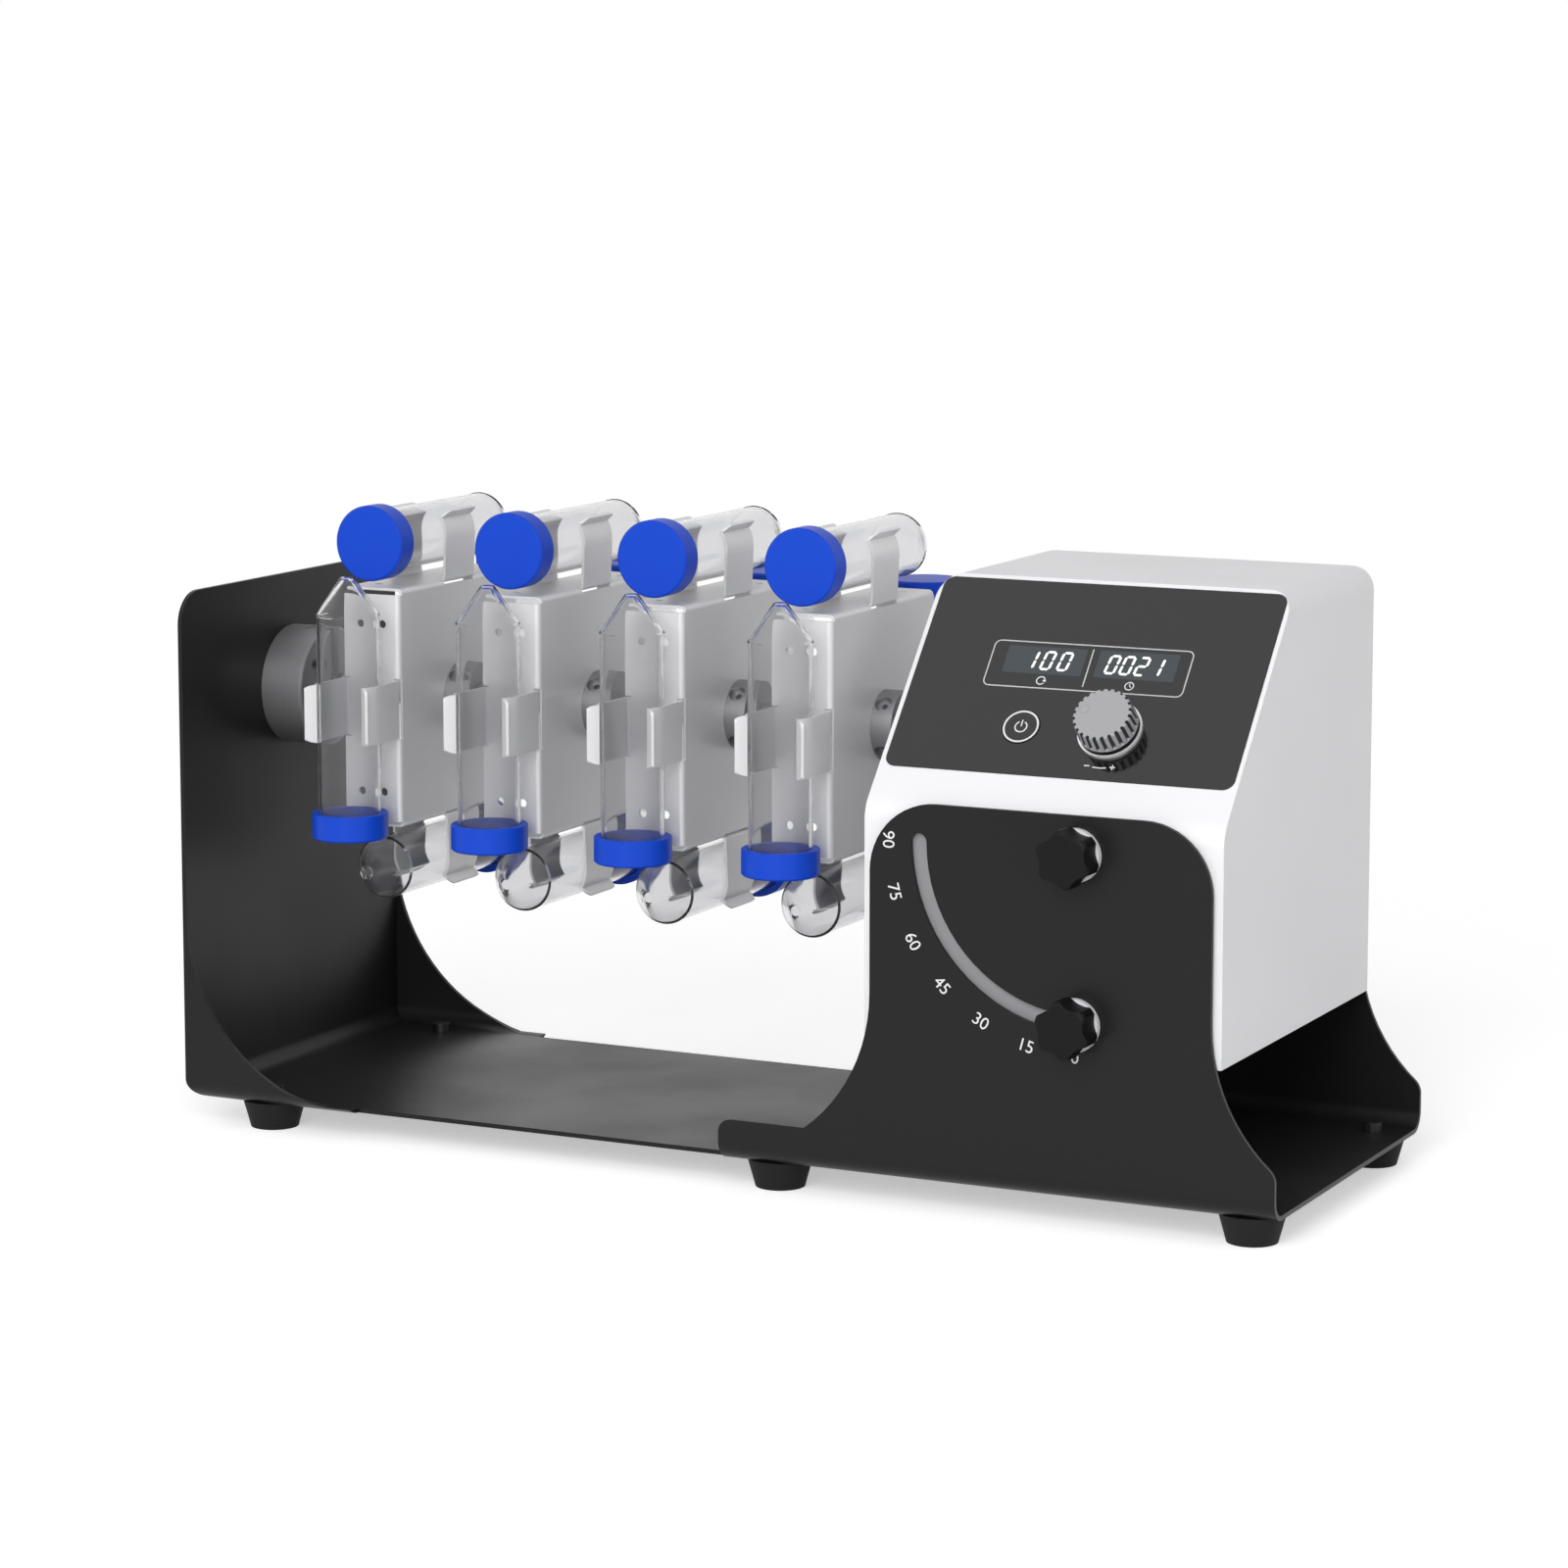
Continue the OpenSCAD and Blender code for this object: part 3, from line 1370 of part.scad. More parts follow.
base_frame();
rubber_feet();
foot_screws();
tail_block();
tail_cradle();
tail_screws();
head_hood();
head_bottom();
bottom_screws();
rear_panel();
rear_screws();
panel_overlay();
display_windows();
display_modules();
control_board();
board_standoffs();
encoder_body();
encoder_ring();
button_switch();
motor_bracket();
bracket_screws();
gearbox();
motor();
bearing_housing();
shaft_bearing();
stud_bosses();
rear_boss();
knob_washers();
rear_pivot_bolt();
rear_washer();
power_inlet();
switch_housing();
pivot_knob();
pivot_stud();
lock_knob();
lock_stud();
encoder_knob();
push_button();
rocker();
rotor_shaft();
output_shaft();
shaft_coupling();
coupling_screws();
hub_collars();
hub_screws();
set_screws();
tube_holder(0);  // tube_holder_1
tube_holder(1);  // tube_holder_2
tube_holder(2);  // tube_holder_3
tube_holder(3);  // tube_holder_4
tubes(0);  // tubes_1
tubes(1);  // tubes_2
tubes(2);  // tubes_3
tubes(3);  // tubes_4
caps(0);  // caps_1
caps(1);  // caps_2
caps(2);  // caps_3
caps(3);  // caps_4
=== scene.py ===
"""Looks of the rotary tube mixer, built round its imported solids."""

import json
import math

import bpy
from mathutils import Matrix, Vector


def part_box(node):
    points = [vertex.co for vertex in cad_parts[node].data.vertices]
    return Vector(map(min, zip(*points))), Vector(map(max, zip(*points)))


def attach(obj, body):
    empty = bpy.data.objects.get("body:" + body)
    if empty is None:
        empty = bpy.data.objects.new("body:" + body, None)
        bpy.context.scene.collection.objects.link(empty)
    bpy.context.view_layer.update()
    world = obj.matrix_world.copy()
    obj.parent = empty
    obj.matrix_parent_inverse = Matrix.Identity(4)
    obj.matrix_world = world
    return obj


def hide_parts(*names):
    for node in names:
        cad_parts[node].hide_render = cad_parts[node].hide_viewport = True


MM = 0.001

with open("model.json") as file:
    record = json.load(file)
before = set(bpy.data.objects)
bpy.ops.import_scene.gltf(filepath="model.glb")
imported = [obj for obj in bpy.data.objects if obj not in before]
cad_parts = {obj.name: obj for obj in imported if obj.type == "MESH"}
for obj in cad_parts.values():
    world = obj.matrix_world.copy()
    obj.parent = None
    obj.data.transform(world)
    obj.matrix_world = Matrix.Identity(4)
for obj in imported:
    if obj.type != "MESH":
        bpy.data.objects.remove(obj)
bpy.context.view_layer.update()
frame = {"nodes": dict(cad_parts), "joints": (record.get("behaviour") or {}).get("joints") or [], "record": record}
scene = bpy.context.scene
scene.view_settings.view_transform = "Standard"
joints = {joint["name"]: joint for joint in frame["joints"]}


def place_of(joint):
    """Where a joint is, in metres."""
    return Vector(joints[joint]["pos_m"])


# Materials

FINE_DETAIL = 3
BROAD_SCALE = 14
BROAD_DETAIL = 4
BEVEL_SAMPLES = 4
CLOUD_SHADE = 1.5


def linear(code):
    """Linear colour of a hex code."""
    parts = [int(code[i:i + 2], 16) / 255 for i in (1, 3, 5)]
    return [c / 12.92 if c <= 0.04045 else ((c + 0.055) / 1.055) ** 2.4 for c in parts] + [1.0]


def toned(colour, factor):
    """A colour made darker or lighter."""
    return [min(1.0, c * factor) for c in colour[:3]] + [1.0]


def wire(tree, source, output, target, socket):
    tree.links.new(source.outputs[output], target.inputs[socket])


def mapped(tree, source, output, low, high, to_low, to_high):
    """A value moved from one range to another, clamped."""
    node = tree.nodes.new("ShaderNodeMapRange")
    node.inputs["From Min"].default_value = low
    node.inputs["From Max"].default_value = high
    node.inputs["To Min"].default_value = to_low
    node.inputs["To Max"].default_value = to_high
    wire(tree, source, output, node, "Value")
    return node


def noise(tree, place, scale, detail):
    node = tree.nodes.new("ShaderNodeTexNoise")
    node.inputs["Scale"].default_value = scale
    node.inputs["Detail"].default_value = detail
    wire(tree, place, "Vector", node, "Vector")
    return node


def mixed(tree, first, second, part, output="Result"):
    """The colour that comes out of a mix by a node's output. The first colour is a list or a socket."""
    node = tree.nodes.new("ShaderNodeMix")
    node.data_type = "RGBA"
    a, b = [s for s in node.inputs if s.type == "RGBA"]
    if isinstance(first, list):
        a.default_value = first
    else:
        tree.links.new(first, a)
    b.default_value = second
    wire(tree, part, output, node, "Factor")
    return [s for s in node.outputs if s.type == "RGBA"][0]


def worn_edges(tree, out, tone, wear, soft, broad):
    """The colour of a finish with its edges worn to a tone, in patches."""
    shape = tree.nodes.new("ShaderNodeNewGeometry")
    turn = tree.nodes.new("ShaderNodeVectorMath")
    turn.operation = "DOT_PRODUCT"
    wire(tree, soft, "Normal", turn, 0)
    wire(tree, shape, "Normal", turn, 1)
    rim = mapped(tree, turn, "Value", 0.98, 0.8, 0, wear)
    patchy = tree.nodes.new("ShaderNodeMath")
    patchy.operation = "MULTIPLY"
    wire(tree, rim, "Result", patchy, 0)
    wire(tree, broad, "Fac", patchy, 1)
    return mixed(tree, out, tone, patchy, "Value")


def surface(name, code, rough, metal=0.0, grain=0.6, shade=0.08, relief=0.02, spread=0.06,
            bevel=0.25, wear=0.0, wear_tone=1.8, stretch=(1, 1, 1), **sockets):
    """A finish with grain of a size and relief in mm, uneven shade and gloss, rounded and worn edges."""
    mat = bpy.data.materials.new(name)
    mat.use_nodes = True
    tree = mat.node_tree
    shader = tree.nodes["Principled BSDF"]
    shader.inputs["Metallic"].default_value = metal
    for key, value in sockets.items():
        shader.inputs[key.replace("_", " ")].default_value = value
    coords = tree.nodes.new("ShaderNodeTexCoord")
    place = tree.nodes.new("ShaderNodeMapping")
    place.inputs["Scale"].default_value = stretch
    wire(tree, coords, "Object", place, "Vector")
    fine = noise(tree, place, 1 / (grain * MM), FINE_DETAIL)
    broad = noise(tree, place, BROAD_SCALE, BROAD_DETAIL)
    soft = tree.nodes.new("ShaderNodeBevel")
    soft.samples = BEVEL_SAMPLES
    soft.inputs["Radius"].default_value = bevel * MM

    colour = linear(code)
    speckle = mapped(tree, fine, "Fac", 0.3, 0.7, 0, 1)
    out = mixed(tree, toned(colour, 1 - shade), toned(colour, 1 + shade), speckle)
    clouds = mapped(tree, broad, "Fac", 0.45, 0.75, 0, 0.5)
    out = mixed(tree, out, toned(colour, 1 - CLOUD_SHADE * shade), clouds)
    if wear:
        out = worn_edges(tree, out, toned(colour, wear_tone), wear, soft, broad)
    tree.links.new(out, shader.inputs["Base Color"])

    gloss = mapped(tree, broad, "Fac", 0.3, 0.7, max(0.02, rough - spread), rough + spread)
    wire(tree, gloss, "Result", shader, "Roughness")
    bump = tree.nodes.new("ShaderNodeBump")
    bump.inputs["Distance"].default_value = relief * MM
    bump.inputs["Strength"].default_value = 1.0
    wire(tree, fine, "Fac", bump, "Height")
    wire(tree, soft, "Normal", bump, "Normal")
    wire(tree, bump, "Normal", shader, "Normal")
    return mat


FINISHES = {
    "base_black": surface("powder_coat", "#1a1a1b", 0.36, grain=0.5, relief=0.012, wear=0.4, wear_tone=2.0,
                          Specular_IOR_Level=0.2),
    "rubber_black": surface("rubber", "#161616", 0.75, grain=0.4, shade=0.15, relief=0.03, wear=0.3,
                            Specular_IOR_Level=0.25),
    "screw_dark": surface("black_oxide", "#3a3a3c", 0.4, 0.85, grain=0.3, relief=0.008, wear=0.8),
    "screw_steel": surface("zinc_plate", "#b9b9be", 0.33, 1.0, grain=0.3, relief=0.006, wear=0.3,
                           wear_tone=1.2),
    "tail_grey": surface("bead_blast", "#949496", 0.5, 0.9, grain=0.25, shade=0.1, relief=0.012, wear=0.4,
                         wear_tone=1.4),
    "hood_white": surface("white_shell", "#eeeef0", 0.5, grain=0.45, shade=0.012, relief=0.01, bevel=0.5),
    "overlay_grey": surface("panel_film", "#0c0c0d", 0.09, grain=0.35, shade=0.03, relief=0.0004,
                            spread=0.02, bevel=0.1, Specular_IOR_Level=0.68),
    "window_dark": surface("tinted_window", "#394045", 0.22, grain=0.5, shade=0.04, relief=0.001,
                           bevel=0.05),
    "module_black": surface("black_moulding", "#202022", 0.5, grain=0.4, relief=0.01, wear=0.4),
    "board_green": surface("circuit_lacquer", "#1f5a34", 0.35, grain=2.5, shade=0.25, relief=0.02),
    "brass": surface("turned_brass", "#c4a65e", 0.3, 1.0, grain=0.3, relief=0.006, wear=0.3, wear_tone=1.2),
    "ring_bright": surface("satin_ring", "#f2f2f4", 0.3, 0.5, grain=0.3, relief=0.004, bevel=0.15),
    "sheet_steel": surface("plain_sheet", "#b2b2b6", 0.4, 1.0, grain=0.5, relief=0.008, stretch=(1, 1, 6)),
    "motor_grey": surface("motor_paint", "#56565a", 0.42, 0.4, grain=0.5, relief=0.01, wear=0.4),
    "washer_white": surface("nylon", "#ededf0", 0.35, grain=0.4, shade=0.02, relief=0.006),
    "knob_black": surface("knob_moulding", "#0d0d0e", 0.5, grain=0.35, shade=0.1, relief=0.014, bevel=0.5,
                          wear=0.3, Specular_IOR_Level=0.15),
    "knob_grey": surface("knob_satin", "#a3a3a6", 0.42, grain=0.3, shade=0.03, relief=0.006, bevel=0.2),
    "shaft_steel": surface("ground_shaft", "#a5a5a9", 0.3, 1.0, grain=0.6, shade=0.12, relief=0.004,
                           stretch=(6, 0.4, 0.4)),
    "clip_steel": surface("satin_sheet", "#e1e1e2", 0.4, 0.25, grain=0.35, shade=0.04, relief=0.006,
                          bevel=0.3, wear=0.5, wear_tone=1.3),
    "tube_clear": surface("clear_tube", "#eeeeef", 0.04, grain=3.0, shade=0.0, relief=0.003, spread=0.02,
                          bevel=0.1, Transmission_Weight=0.97, IOR=1.2),
    "cap_blue": surface("cap_moulding", "#0c45c8", 0.42, grain=0.4, shade=0.04, relief=0.008, bevel=0.3,
                        wear=0.2, wear_tone=1.4, Specular_IOR_Level=0.2),
}
PRINT_WHITE = surface("white_print", "#e6e6e6", 0.5, grain=0.3, shade=0.03, relief=0.002, bevel=0.02)
PRINT_SILVER = surface("silver_print", "#c8c8c8", 0.45, grain=0.3, shade=0.03, relief=0.002, bevel=0.02)
# Painted shade: a mid grey for the hood seen in shade through the arc slot, also used for the rim of the knob's
# dimple
PAINTED_SHADE_GREY = surface("painted_shade_strip", "#8f8f91", 0.5, grain=0.4, shade=0.05, relief=0.006, bevel=0.05)
# Painted shade: a dark grey for the grooves of the knob's flutes
FLUTE_PAINTED_SHADE = surface("flute_shade", "#404042", 0.5, grain=0.3, shade=0.05, relief=0.006, bevel=0.05)
# Painted shade: near black for hollows, the gap under the knob and the key sockets
PAINTED_HOLLOW_SHADE = surface("socket_shade", "#0c0c0d", 0.6, grain=0.3, shade=0.1, relief=0.004, bevel=0.02)
LIT_DIGIT = surface("lit_segments", "#f2f2f0", 0.4, grain=0.3, shade=0.02, relief=0.001, bevel=0.02,
                    Emission_Color=linear("#f4f4f2"), Emission_Strength=0.35)

for part in frame["record"]["subparts"]:
    slots = frame["nodes"][part["node"]].data.materials
    slots.clear()
    slots.append(FINISHES[part["material_slot"]])


# Outlines in mm, angles in degrees

END_STEPS = 6


def polar(x, y, r, angle):
    a = math.radians(angle)
    return x + r * math.cos(a), y + r * math.sin(a)


def arc(x, y, r, start, end, steps):
    return [polar(x, y, r, start + (end - start) * k / steps) for k in range(steps + 1)]


def circle(x, y, r, steps=48):
    return arc(x, y, r, 0, 360, steps)[:-1]


def band(x, y, r, width, start, end, steps=24):
    """An arc stroke with round ends."""
    half = width / 2
    outer = arc(x, y, r + half, start, end, steps)
    inner = arc(x, y, r - half, end, start, steps)
    last_end = arc(*polar(x, y, r, end), half, end, end + 180, END_STEPS)[1:-1]
    first_end = arc(*polar(x, y, r, start), half, start + 180, start + 360, END_STEPS)[1:-1]
    return outer + last_end + inner + first_end


def round_box(x0, y0, x1, y1, r):
    corners = ((x1 - r, y1 - r, 0), (x0 + r, y1 - r, 90), (x0 + r, y0 + r, 180), (x1 - r, y0 + r, 270))
    return [point for x, y, start in corners for point in arc(x, y, r, start, start + 90, END_STEPS)]


def stroke(x0, y0, x1, y1, width):
    """A straight stroke with round ends."""
    along = math.degrees(math.atan2(y1 - y0, x1 - x0))
    last_end = arc(x1, y1, width / 2, along - 90, along + 90, END_STEPS)
    first_end = arc(x0, y0, width / 2, along + 90, along + 270, END_STEPS)
    return last_end + first_end


# Pieces

RIGHT = Vector((1, 0, 0))
UP = Vector((0, 0, 1))


def plane(origin, right, up):
    """A frame of axes at a place: right, up and out of the plane."""
    return Matrix.Translation(origin) @ Matrix((right, up, right.cross(up))).transposed().to_4x4()


def linked(name, data):
    piece = bpy.data.objects.new(name, data)
    scene.collection.objects.link(piece)
    return piece


def printed(name, outlines, matrix, lift, thick, material, body):
    """Outlines filled in the plane of a matrix, from lift to lift + thick, riding on a body."""
    curve = bpy.data.curves.new(name, "CURVE")
    curve.dimensions = "2D"
    curve.fill_mode = "BOTH"
    curve.extrude = thick / 2 * MM
    for points in outlines:
        spline = curve.splines.new("POLY")
        spline.points.add(len(points) - 1)
        for point, (x, y) in zip(spline.points, points):
            point.co = (x * MM, y * MM, 0, 1)
        spline.use_cyclic_u = True
    curve.materials.append(material)
    piece = linked(name, curve)
    piece.matrix_world = matrix @ Matrix.Translation((0, 0, (lift + thick / 2) * MM))
    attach(piece, body)


# Control slope: u to the right, v up the slope, w out of it

SLOPE_FOOT_Z = 170.5
FILM_TOP = 0.2
PRINT_T = 0.05
hood_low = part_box("head_hood")[0]
slope_out = Vector(joints["encoder_turn"]["axis"])
slope_foot = Vector((hood_low.x, hood_low.y, SLOPE_FOOT_Z * MM))
slope = plane(slope_foot, RIGHT, Vector((0, slope_out.z, -slope_out.y)))

# Printed frame round the two windows, with a divider

LINE = 0.55
FRAME_LEFT, FRAME_LOW, FRAME_RIGHT, FRAME_HIGH = 34.5, 64.5, 125, 88
FRAME_R = 3
DIVIDER_U, DIVIDER_LOW, DIVIDER_HIGH = 79.9, 67.0, 85.6
printed("display_frame", [
    round_box(FRAME_LEFT, FRAME_LOW, FRAME_RIGHT, FRAME_HIGH, FRAME_R),
    round_box(FRAME_LEFT + LINE, FRAME_LOW + LINE, FRAME_RIGHT - LINE, FRAME_HIGH - LINE, FRAME_R - LINE),
    stroke(DIVIDER_U, DIVIDER_LOW, DIVIDER_U, DIVIDER_HIGH, LINE),
], slope, FILM_TOP, PRINT_T, PRINT_SILVER, "head")

# Seven-bar digits

SEGMENTS = {"0": "abcdef", "1": "bc", "2": "abdeg"}
DIGIT_H = 9.9
DIGIT_W = 5.2
DIGIT_V = 73.8
DIGIT_T = 0.02
BAR = 1.15
BAR_GAP = 0.12
LEAN = math.tan(math.radians(9))


def segment_bar(x0, y0, x1, y1):
    """A bar with pointed ends between two corners of a digit."""
    size = math.hypot(x1 - x0, y1 - y0)
    ex, ey = (x1 - x0) / size, (y1 - y0) / size
    half = BAR / 2
    along = ((BAR_GAP, 0), (BAR_GAP + half, half), (size - BAR_GAP - half, half), (size - BAR_GAP, 0),
             (size - BAR_GAP - half, -half), (BAR_GAP + half, -half))
    return [(x0 + ex * s - ey * t, y0 + ey * s + ex * t) for s, t in along]


def digit(char, u, v):
    """Lit bars of one leaning digit whose lower left corner is at u, v."""
    left, right = BAR / 2, DIGIT_W - BAR / 2
    low, middle, high = BAR / 2, DIGIT_H / 2, DIGIT_H - BAR / 2
    bars = {
        "a": (left, high, right, high),
        "b": (right, high, right, middle),
        "c": (right, middle, right, low),
        "d": (left, low, right, low),
        "e": (left, low, left, middle),
        "f": (left, middle, left, high),
        "g": (left, middle, right, middle),
    }
    return [[(u + x + LEAN * y, v + y) for x, y in segment_bar(*bars[k])] for k in SEGMENTS[char]]


for name, text, u, pitch in (("speed_digits", "100", 49.9, 7.7), ("time_digits", "0021", 86.9, 6.6)):
    bars = [bar for k, char in enumerate(text) for bar in digit(char, u + k * pitch, DIGIT_V)]
    printed(name, bars, slope, FILM_TOP, DIGIT_T, LIT_DIGIT, "head")

# Pictograms: a turning arrow, a clock, and less and more by the encoder

KNOB_U, KNOB_V = 98.3, 46
MARK_V = 68.6
SPEED_U = 60.5
TIME_U = 100.5
CLOCK_R = 2.1
CLOCK_LINE = 0.45
HAND = 0.4
printed("speed_mark", [
    band(SPEED_U, MARK_V, 1.9, 0.5, 20, 320),
    [(SPEED_U + 2.4, MARK_V - 0.6), (SPEED_U + 0.7, MARK_V - 0.2), (SPEED_U + 1.8, MARK_V + 1.3)],
], slope, FILM_TOP, PRINT_T, PRINT_WHITE, "head")
printed("time_mark", [
    circle(TIME_U, MARK_V, CLOCK_R),
    circle(TIME_U, MARK_V, CLOCK_R - CLOCK_LINE),
    stroke(TIME_U, MARK_V, TIME_U, MARK_V + 1.2, HAND),
    stroke(TIME_U, MARK_V, TIME_U + 0.8, MARK_V - 0.4, HAND),
], slope, FILM_TOP, PRINT_T, PRINT_WHITE, "head")

LESS_MORE_V = 28.3
LESS_MORE_OUT = 5.7
SIGN = 1.0
printed("encoder_mark", [
    stroke(KNOB_U - LESS_MORE_OUT - SIGN, LESS_MORE_V, KNOB_U - LESS_MORE_OUT + SIGN, LESS_MORE_V, LINE),
    band(KNOB_U, KNOB_V, 18.4, 0.5, 261, 279),
    stroke(KNOB_U + LESS_MORE_OUT - SIGN, LESS_MORE_V, KNOB_U + LESS_MORE_OUT + SIGN, LESS_MORE_V, LINE),
    stroke(KNOB_U + LESS_MORE_OUT, LESS_MORE_V - SIGN, KNOB_U + LESS_MORE_OUT, LESS_MORE_V + SIGN, LINE),
], slope, FILM_TOP, PRINT_T, PRINT_WHITE, "head")

# Push button: a ring on its rim and a power mark in its dish

BUTTON_U, BUTTON_V = 58.3, 45
BUTTON_TOP = 0.5
DISH = 0.27
DISH_T = 0.16
RING_R = 7.9
RING_LINE = 0.8
printed("button_ring", [
    circle(BUTTON_U, BUTTON_V, RING_R, 64),
    circle(BUTTON_U, BUTTON_V, RING_R - RING_LINE, 64),
], slope, BUTTON_TOP, PRINT_T, PRINT_WHITE, "push_button")
printed("button_mark", [
    band(BUTTON_U, BUTTON_V, 2.6, LINE, 122, 418),
    stroke(BUTTON_U, BUTTON_V + 0.4, BUTTON_U, BUTTON_V + 3.2, LINE),
], slope, BUTTON_TOP - DISH, DISH_T, PRINT_WHITE, "push_button")


# Encoder knob: flutes with painted shade round a tapered skirt, over a plain rim and a gap of painted shade

FLUTES = 24
# Across a flute: degrees from its middle and depth
FLUTE = ((-180 / FLUTES, 0), (-3.7, 0), (-3.1, 0.9), (-1.6, 1.25), (0, 1.3), (1.6, 1.25), (3.1, 0.9),
         (3.7, 0))
# From the stem to the top: height, radius and share of the flutes' depth
SKIRT = ((-12.7, 3, 0), (6, 3, 0), (6, 10, 0), (3.8, 10, 0), (3.8, 12.9, 0), (4.1, 13.2, 0),
         (4.7, 13.16, 0), (4.95, 13.15, 0.85), (5.4, 13.1, 1), (12.35, 12.65, 1), (12.8, 12.5, 0.8),
         (13, 12.2, 0.55))
count = FLUTES * len(FLUTE)
points = []
for height, radius, share in SKIRT:
    for k in range(FLUTES):
        for offset, depth in FLUTE:
            x, y = polar(0, 0, radius - share * depth, 360 / FLUTES * k + offset)
            points.append((x * MM, y * MM, height * MM))
faces = []
face_slots = []
for level in range(len(SKIRT) - 1):
    for k in range(count):
        low, low_next = level * count + k, level * count + (k + 1) % count
        faces.append((low, low_next, low_next + count, low + count))
        # Faces inside the flutes take the painted shade of the grooves
        in_flute = SKIRT[level][2] > 0 and 0 < k % len(FLUTE) < len(FLUTE) - 1
        face_slots.append(1 if in_flute else 0)
foot = tuple(reversed(range(count)))
top = tuple(range(len(points) - count, len(points)))
mesh = bpy.data.meshes.new("fluted_knob")
mesh.from_pydata(points, [], faces + [foot, top])
mesh.materials.append(FINISHES["knob_grey"])
mesh.materials.append(FLUTE_PAINTED_SHADE)
mesh.polygons.foreach_set("material_index", face_slots + [0, 0])
knob = linked("fluted_knob", mesh)
knob.matrix_world = slope @ Matrix.Translation((KNOB_U * MM, KNOB_V * MM, 0))
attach(knob, "encoder_knob")
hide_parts("encoder_knob")

DIMPLE_U, DIMPLE_V = KNOB_U - 8.3, KNOB_V + 1.8
DIMPLE_R = 2.25
DIMPLE_LINE = 0.3
DIMPLE_W = 12.985
THIN = 0.02
RING_TOP = 1.7
GAP_R = 13.1
GAP_IN_R = 3.8
# Painted shade: a grey ring on the knob's top for the rim of its dimple
printed("dimple_rim_shade", [
    circle(DIMPLE_U, DIMPLE_V, DIMPLE_R),
    circle(DIMPLE_U, DIMPLE_V, DIMPLE_R - DIMPLE_LINE),
], slope, DIMPLE_W, THIN, PAINTED_SHADE_GREY, "encoder_knob")
# Painted shade: a dark disc under the knob, in the gap inside the bright ring
printed("ring_gap_shade", [
    circle(KNOB_U, KNOB_V, GAP_R, 64),
    circle(KNOB_U, KNOB_V, GAP_IN_R, 64),
], slope, RING_TOP, THIN, PAINTED_HOLLOW_SHADE, "head")


# On and off marks on the two faces of the rear rocker

ROCKER_LEAN = math.radians(joints["rocker_flip"]["range_deg"][1] / 2)
FACE_OUT = 2.59
FACE_MIDDLE = 3.7
MARK_LIFT = 0.01
rocker_axis = Matrix.Translation(place_of("rocker_flip")) @ Matrix.Rotation(ROCKER_LEAN, 4, "X")
for name, side, outlines in (("on_mark", 1, [stroke(0, -1.3, 0, 1.3, 0.6)]),
                             ("off_mark", -1, [circle(0, 0, 1.6), circle(0, 0, 1.1)])):
    rise = Vector((0, side * math.sin(ROCKER_LEAN), math.cos(ROCKER_LEAN)))
    face = plane(Vector((0, FACE_OUT, side * FACE_MIDDLE)) * MM, -RIGHT, rise)
    printed(name, outlines, rocker_axis @ face, MARK_LIFT, PRINT_T, PRINT_WHITE, "rocker")


# Angle numbers on the front cheek, tops toward the pivot

NUMBER_R = 85
NUMBER_H = 7.6
CHEEK_OUT = Vector((0, -1, 0))
pivot = place_of("pivot_knob_turn")
for angle in range(0, 91, 15):
    a = math.radians(angle)
    up = Vector((math.sin(a), 0, math.cos(a)))
    label = bpy.data.curves.new(f"scale_{angle}", "FONT")
    label.body = str(angle)
    label.size = NUMBER_H * MM
    label.align_x = "CENTER"
    label.align_y = "CENTER"
    label.extrude = PRINT_T / 2 * MM
    label.materials.append(PRINT_WHITE)
    number = linked(f"scale_{angle}", label)
    middle = pivot - up * NUMBER_R * MM + CHEEK_OUT * PRINT_T / 2 * MM
    number.matrix_world = plane(middle, up.cross(CHEEK_OUT), up)
    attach(number, "base")


# Grey strip of painted shade on the hood's front, where the arc slot runs over it, for the hood seen in shade
# through the slot

STRIP_W = 8.6
STRIP_T = 0.25
STRIP_LIFT = 0.02
LOCK_HOLE_R = 3.4
slot_r = (pivot - place_of("lock_knob_turn")).length / MM
hood_front = plane(Vector((pivot.x, hood_low.y, pivot.z)), RIGHT, UP)
printed("painted_shade_strip", [
    band(0, 0, slot_r, STRIP_W, 178, 316, 96),
    circle(0, -slot_r, LOCK_HOLE_R),
], hood_front, STRIP_LIFT, STRIP_T, PAINTED_SHADE_GREY, "head")


# Painted shade of key sockets on the cradle's end face: a dark ring round a dark hexagon

SOCKET_R = 19
axis = place_of("spin")
cradle_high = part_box("tail_cradle")[1]
cradle_end = plane(Vector((cradle_high.x, axis.y, axis.z)), Vector((0, 1, 0)), UP)
sockets = []
for angle in (38, 142, 218, 322):
    u, v = polar(0, 0, SOCKET_R, angle)
    sockets += [circle(u, v, 2.3), circle(u, v, 1.95), circle(u, v, 1.6, 6)]
printed("cradle_socket_shade", sockets, cradle_end, MARK_LIFT, PRINT_T, PAINTED_HOLLOW_SHADE, "base")


# Stage

WHITE = (1, 1, 1, 1)
AMBIENT = 0.4
FLOOR_SIZE = 30
FLOOR_COLOUR = (0.9, 0.9, 0.9, 1)
FLOOR_ROUGH = 0.9
FLOOR_GLOW = 0.47
FADE_FROM = 0.35
FADE_TO = 0.9


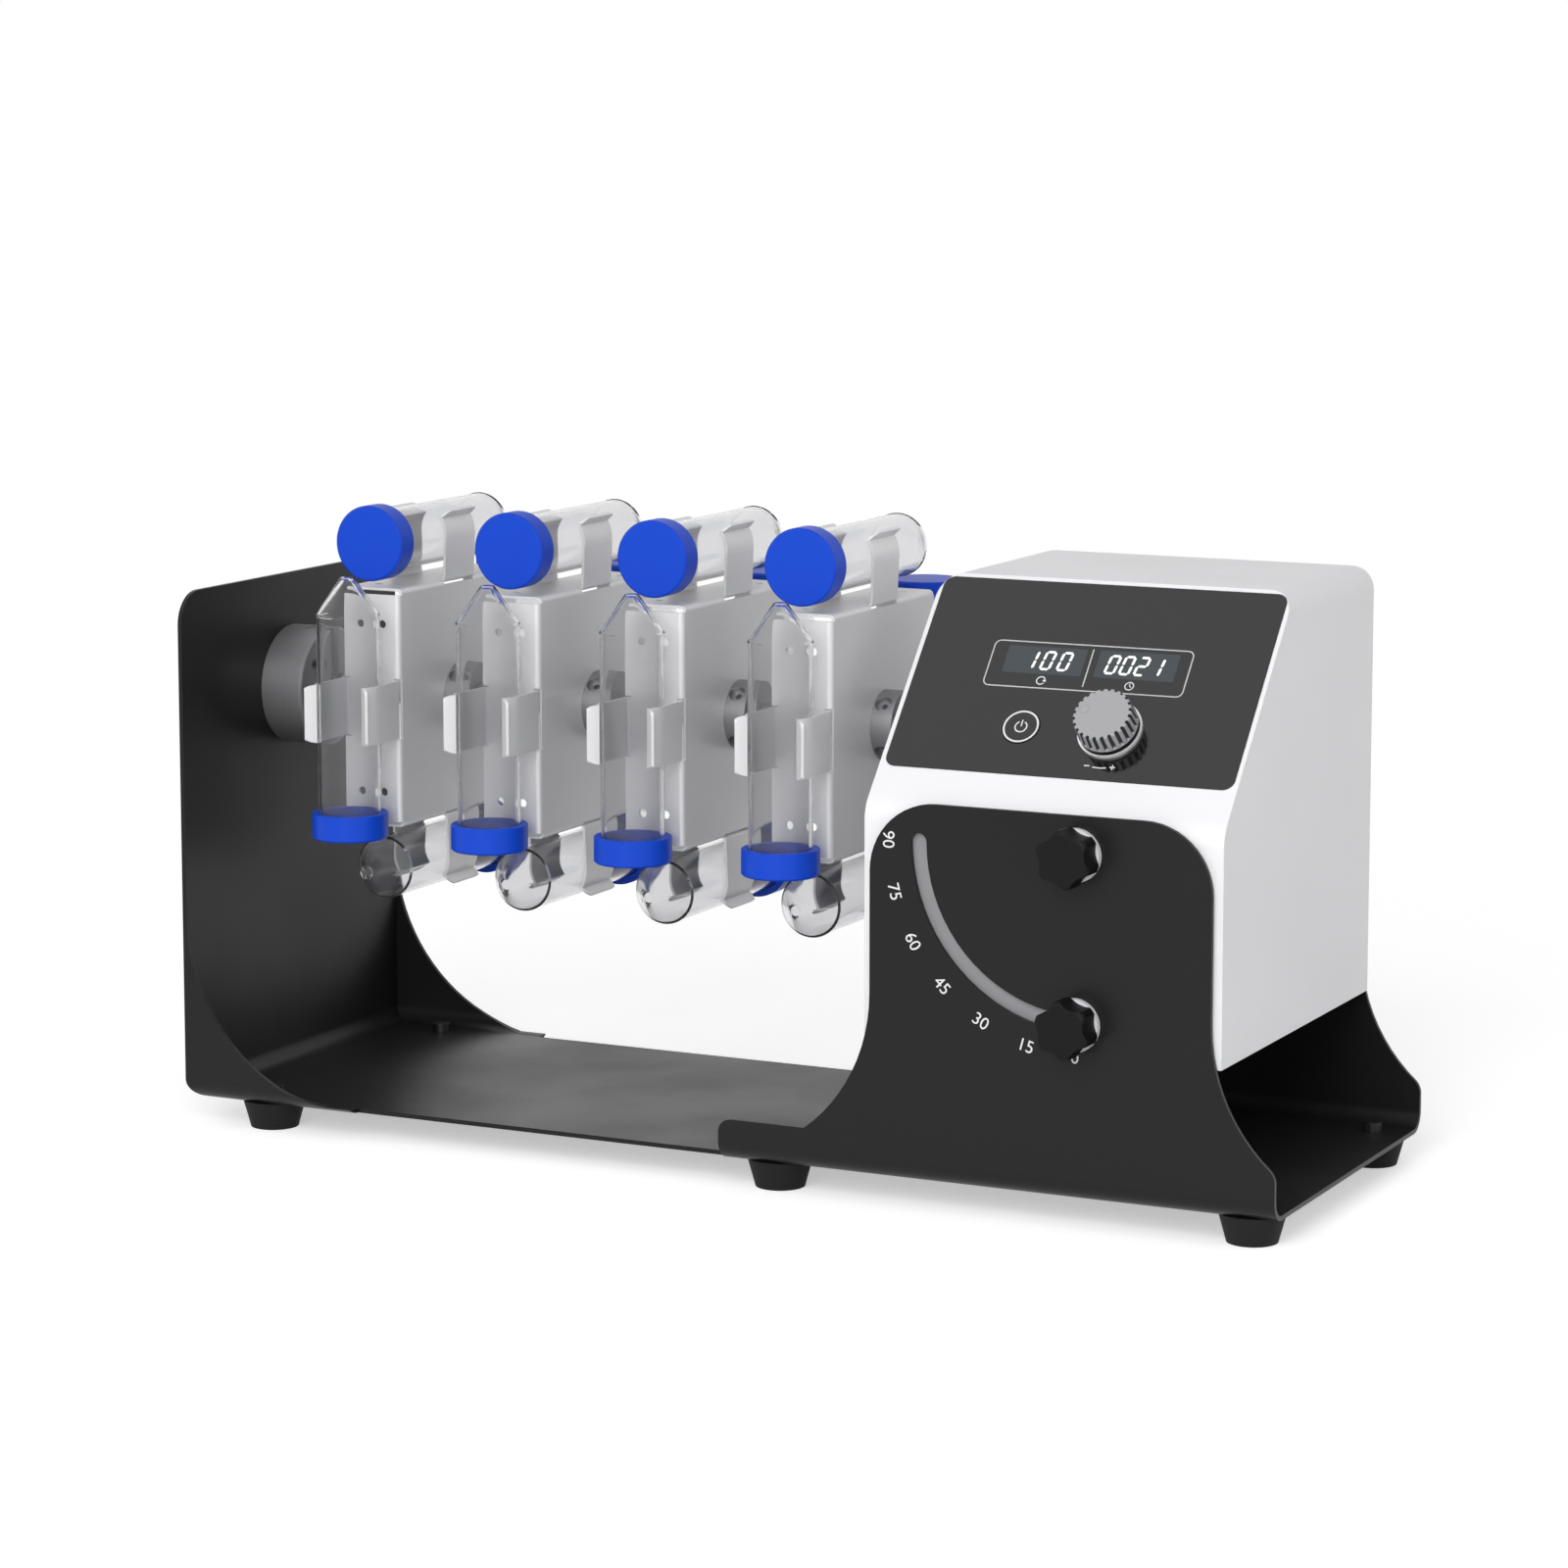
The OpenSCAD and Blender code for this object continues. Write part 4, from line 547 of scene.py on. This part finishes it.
def light_path_mix(tree, plain, shown):
    """Plain light for the object, and the shown shader where it is seen, mirrored or seen through."""
    rays = tree.nodes.new("ShaderNodeLightPath")
    seen = rays.outputs["Is Camera Ray"]
    for other in ("Is Glossy Ray", "Is Transmission Ray"):
        most = tree.nodes.new("ShaderNodeMath")
        most.operation = "MAXIMUM"
        tree.links.new(seen, most.inputs[0])
        tree.links.new(rays.outputs[other], most.inputs[1])
        seen = most.outputs["Value"]
    mix = tree.nodes.new("ShaderNodeMixShader")
    tree.links.new(seen, mix.inputs[0])
    tree.links.new(plain, mix.inputs[1])
    tree.links.new(shown, mix.inputs[2])
    return mix.outputs["Shader"]


def emission(tree, strength):
    node = tree.nodes.new("ShaderNodeEmission")
    node.inputs["Strength"].default_value = strength
    return node.outputs[0]


def white_world():
    """A dim white world that is seen as pure white."""
    world = bpy.data.worlds.new("studio")
    world.use_nodes = True
    tree = world.node_tree
    ambient = tree.nodes["Background"]
    ambient.inputs["Strength"].default_value = AMBIENT
    ambient.inputs["Color"].default_value = WHITE
    backdrop = tree.nodes.new("ShaderNodeBackground")
    backdrop.inputs["Strength"].default_value = 1.0
    backdrop.inputs["Color"].default_value = WHITE
    shown = light_path_mix(tree, ambient.outputs[0], backdrop.outputs[0])
    tree.links.new(shown, tree.nodes["World Output"].inputs["Surface"])
    return world


def pale_paper():
    """Paper that keeps the shadow near the object and fades to white farther off."""
    paper = bpy.data.materials.new("paper")
    paper.use_nodes = True
    tree = paper.node_tree
    shader = tree.nodes["Principled BSDF"]
    shader.inputs["Base Color"].default_value = FLOOR_COLOUR
    shader.inputs["Roughness"].default_value = FLOOR_ROUGH
    near = tree.nodes.new("ShaderNodeAddShader")
    tree.links.new(shader.outputs[0], near.inputs[0])
    tree.links.new(emission(tree, FLOOR_GLOW), near.inputs[1])
    coords = tree.nodes.new("ShaderNodeTexCoord")
    away = tree.nodes.new("ShaderNodeVectorMath")
    away.operation = "LENGTH"
    wire(tree, coords, "Object", away, 0)
    fade = mapped(tree, away, "Value", FADE_FROM, FADE_TO, 0, 1)
    far = tree.nodes.new("ShaderNodeMixShader")
    wire(tree, fade, "Result", far, 0)
    tree.links.new(near.outputs[0], far.inputs[1])
    tree.links.new(emission(tree, 1.0), far.inputs[2])
    shown = light_path_mix(tree, shader.outputs[0], far.outputs[0])
    tree.links.new(shown, tree.nodes["Material Output"].inputs["Surface"])
    return paper


scene.world = white_world()
bpy.ops.mesh.primitive_plane_add(size=FLOOR_SIZE)
floor = bpy.context.object
floor.name = "studio_floor"
floor.data.materials.append(pale_paper())

# Lamps and camera

TARGET = Vector((0.87, 3.75, 215.14)) * MM
AZIMUTH = math.radians(25.99)
ELEVATION = math.radians(7.70)
DISTANCE = 2.0692


def aimed(toward, distance):
    """A place at a distance from the target, looking at it."""
    turn = toward.to_track_quat("Z", "Y").to_matrix().to_4x4()
    return Matrix.Translation(TARGET + toward * distance) @ turn


def softbox(name, toward, distance, size, power):
    lamp = bpy.data.lights.new(name, "AREA")
    lamp.shape = "RECTANGLE"
    lamp.size, lamp.size_y = size
    lamp.energy = power
    linked(name, lamp).matrix_world = aimed(Vector(toward).normalized(), distance)


softbox("key", (0.15, -0.9, 0.42), 2.2, (1.4, 1.4), 30)
softbox("side", (-0.9, -0.35, 0.6), 2.4, (1.0, 1.6), 4.5)
softbox("fill", (0.95, -0.25, 0.3), 2.4, (1.4, 1.4), 6)

flat = math.cos(ELEVATION)
back = Vector((math.sin(AZIMUTH) * flat, -math.cos(AZIMUTH) * flat, math.sin(ELEVATION)))
eye = bpy.data.cameras.new("camera")
eye.lens = 107.55
eye.sensor_width = 36
eye.shift_x = -0.0076
eye.shift_y = -0.0758
eye.clip_end = 50
camera = linked("camera", eye)
camera.matrix_world = aimed(back, DISTANCE)
scene.camera = camera
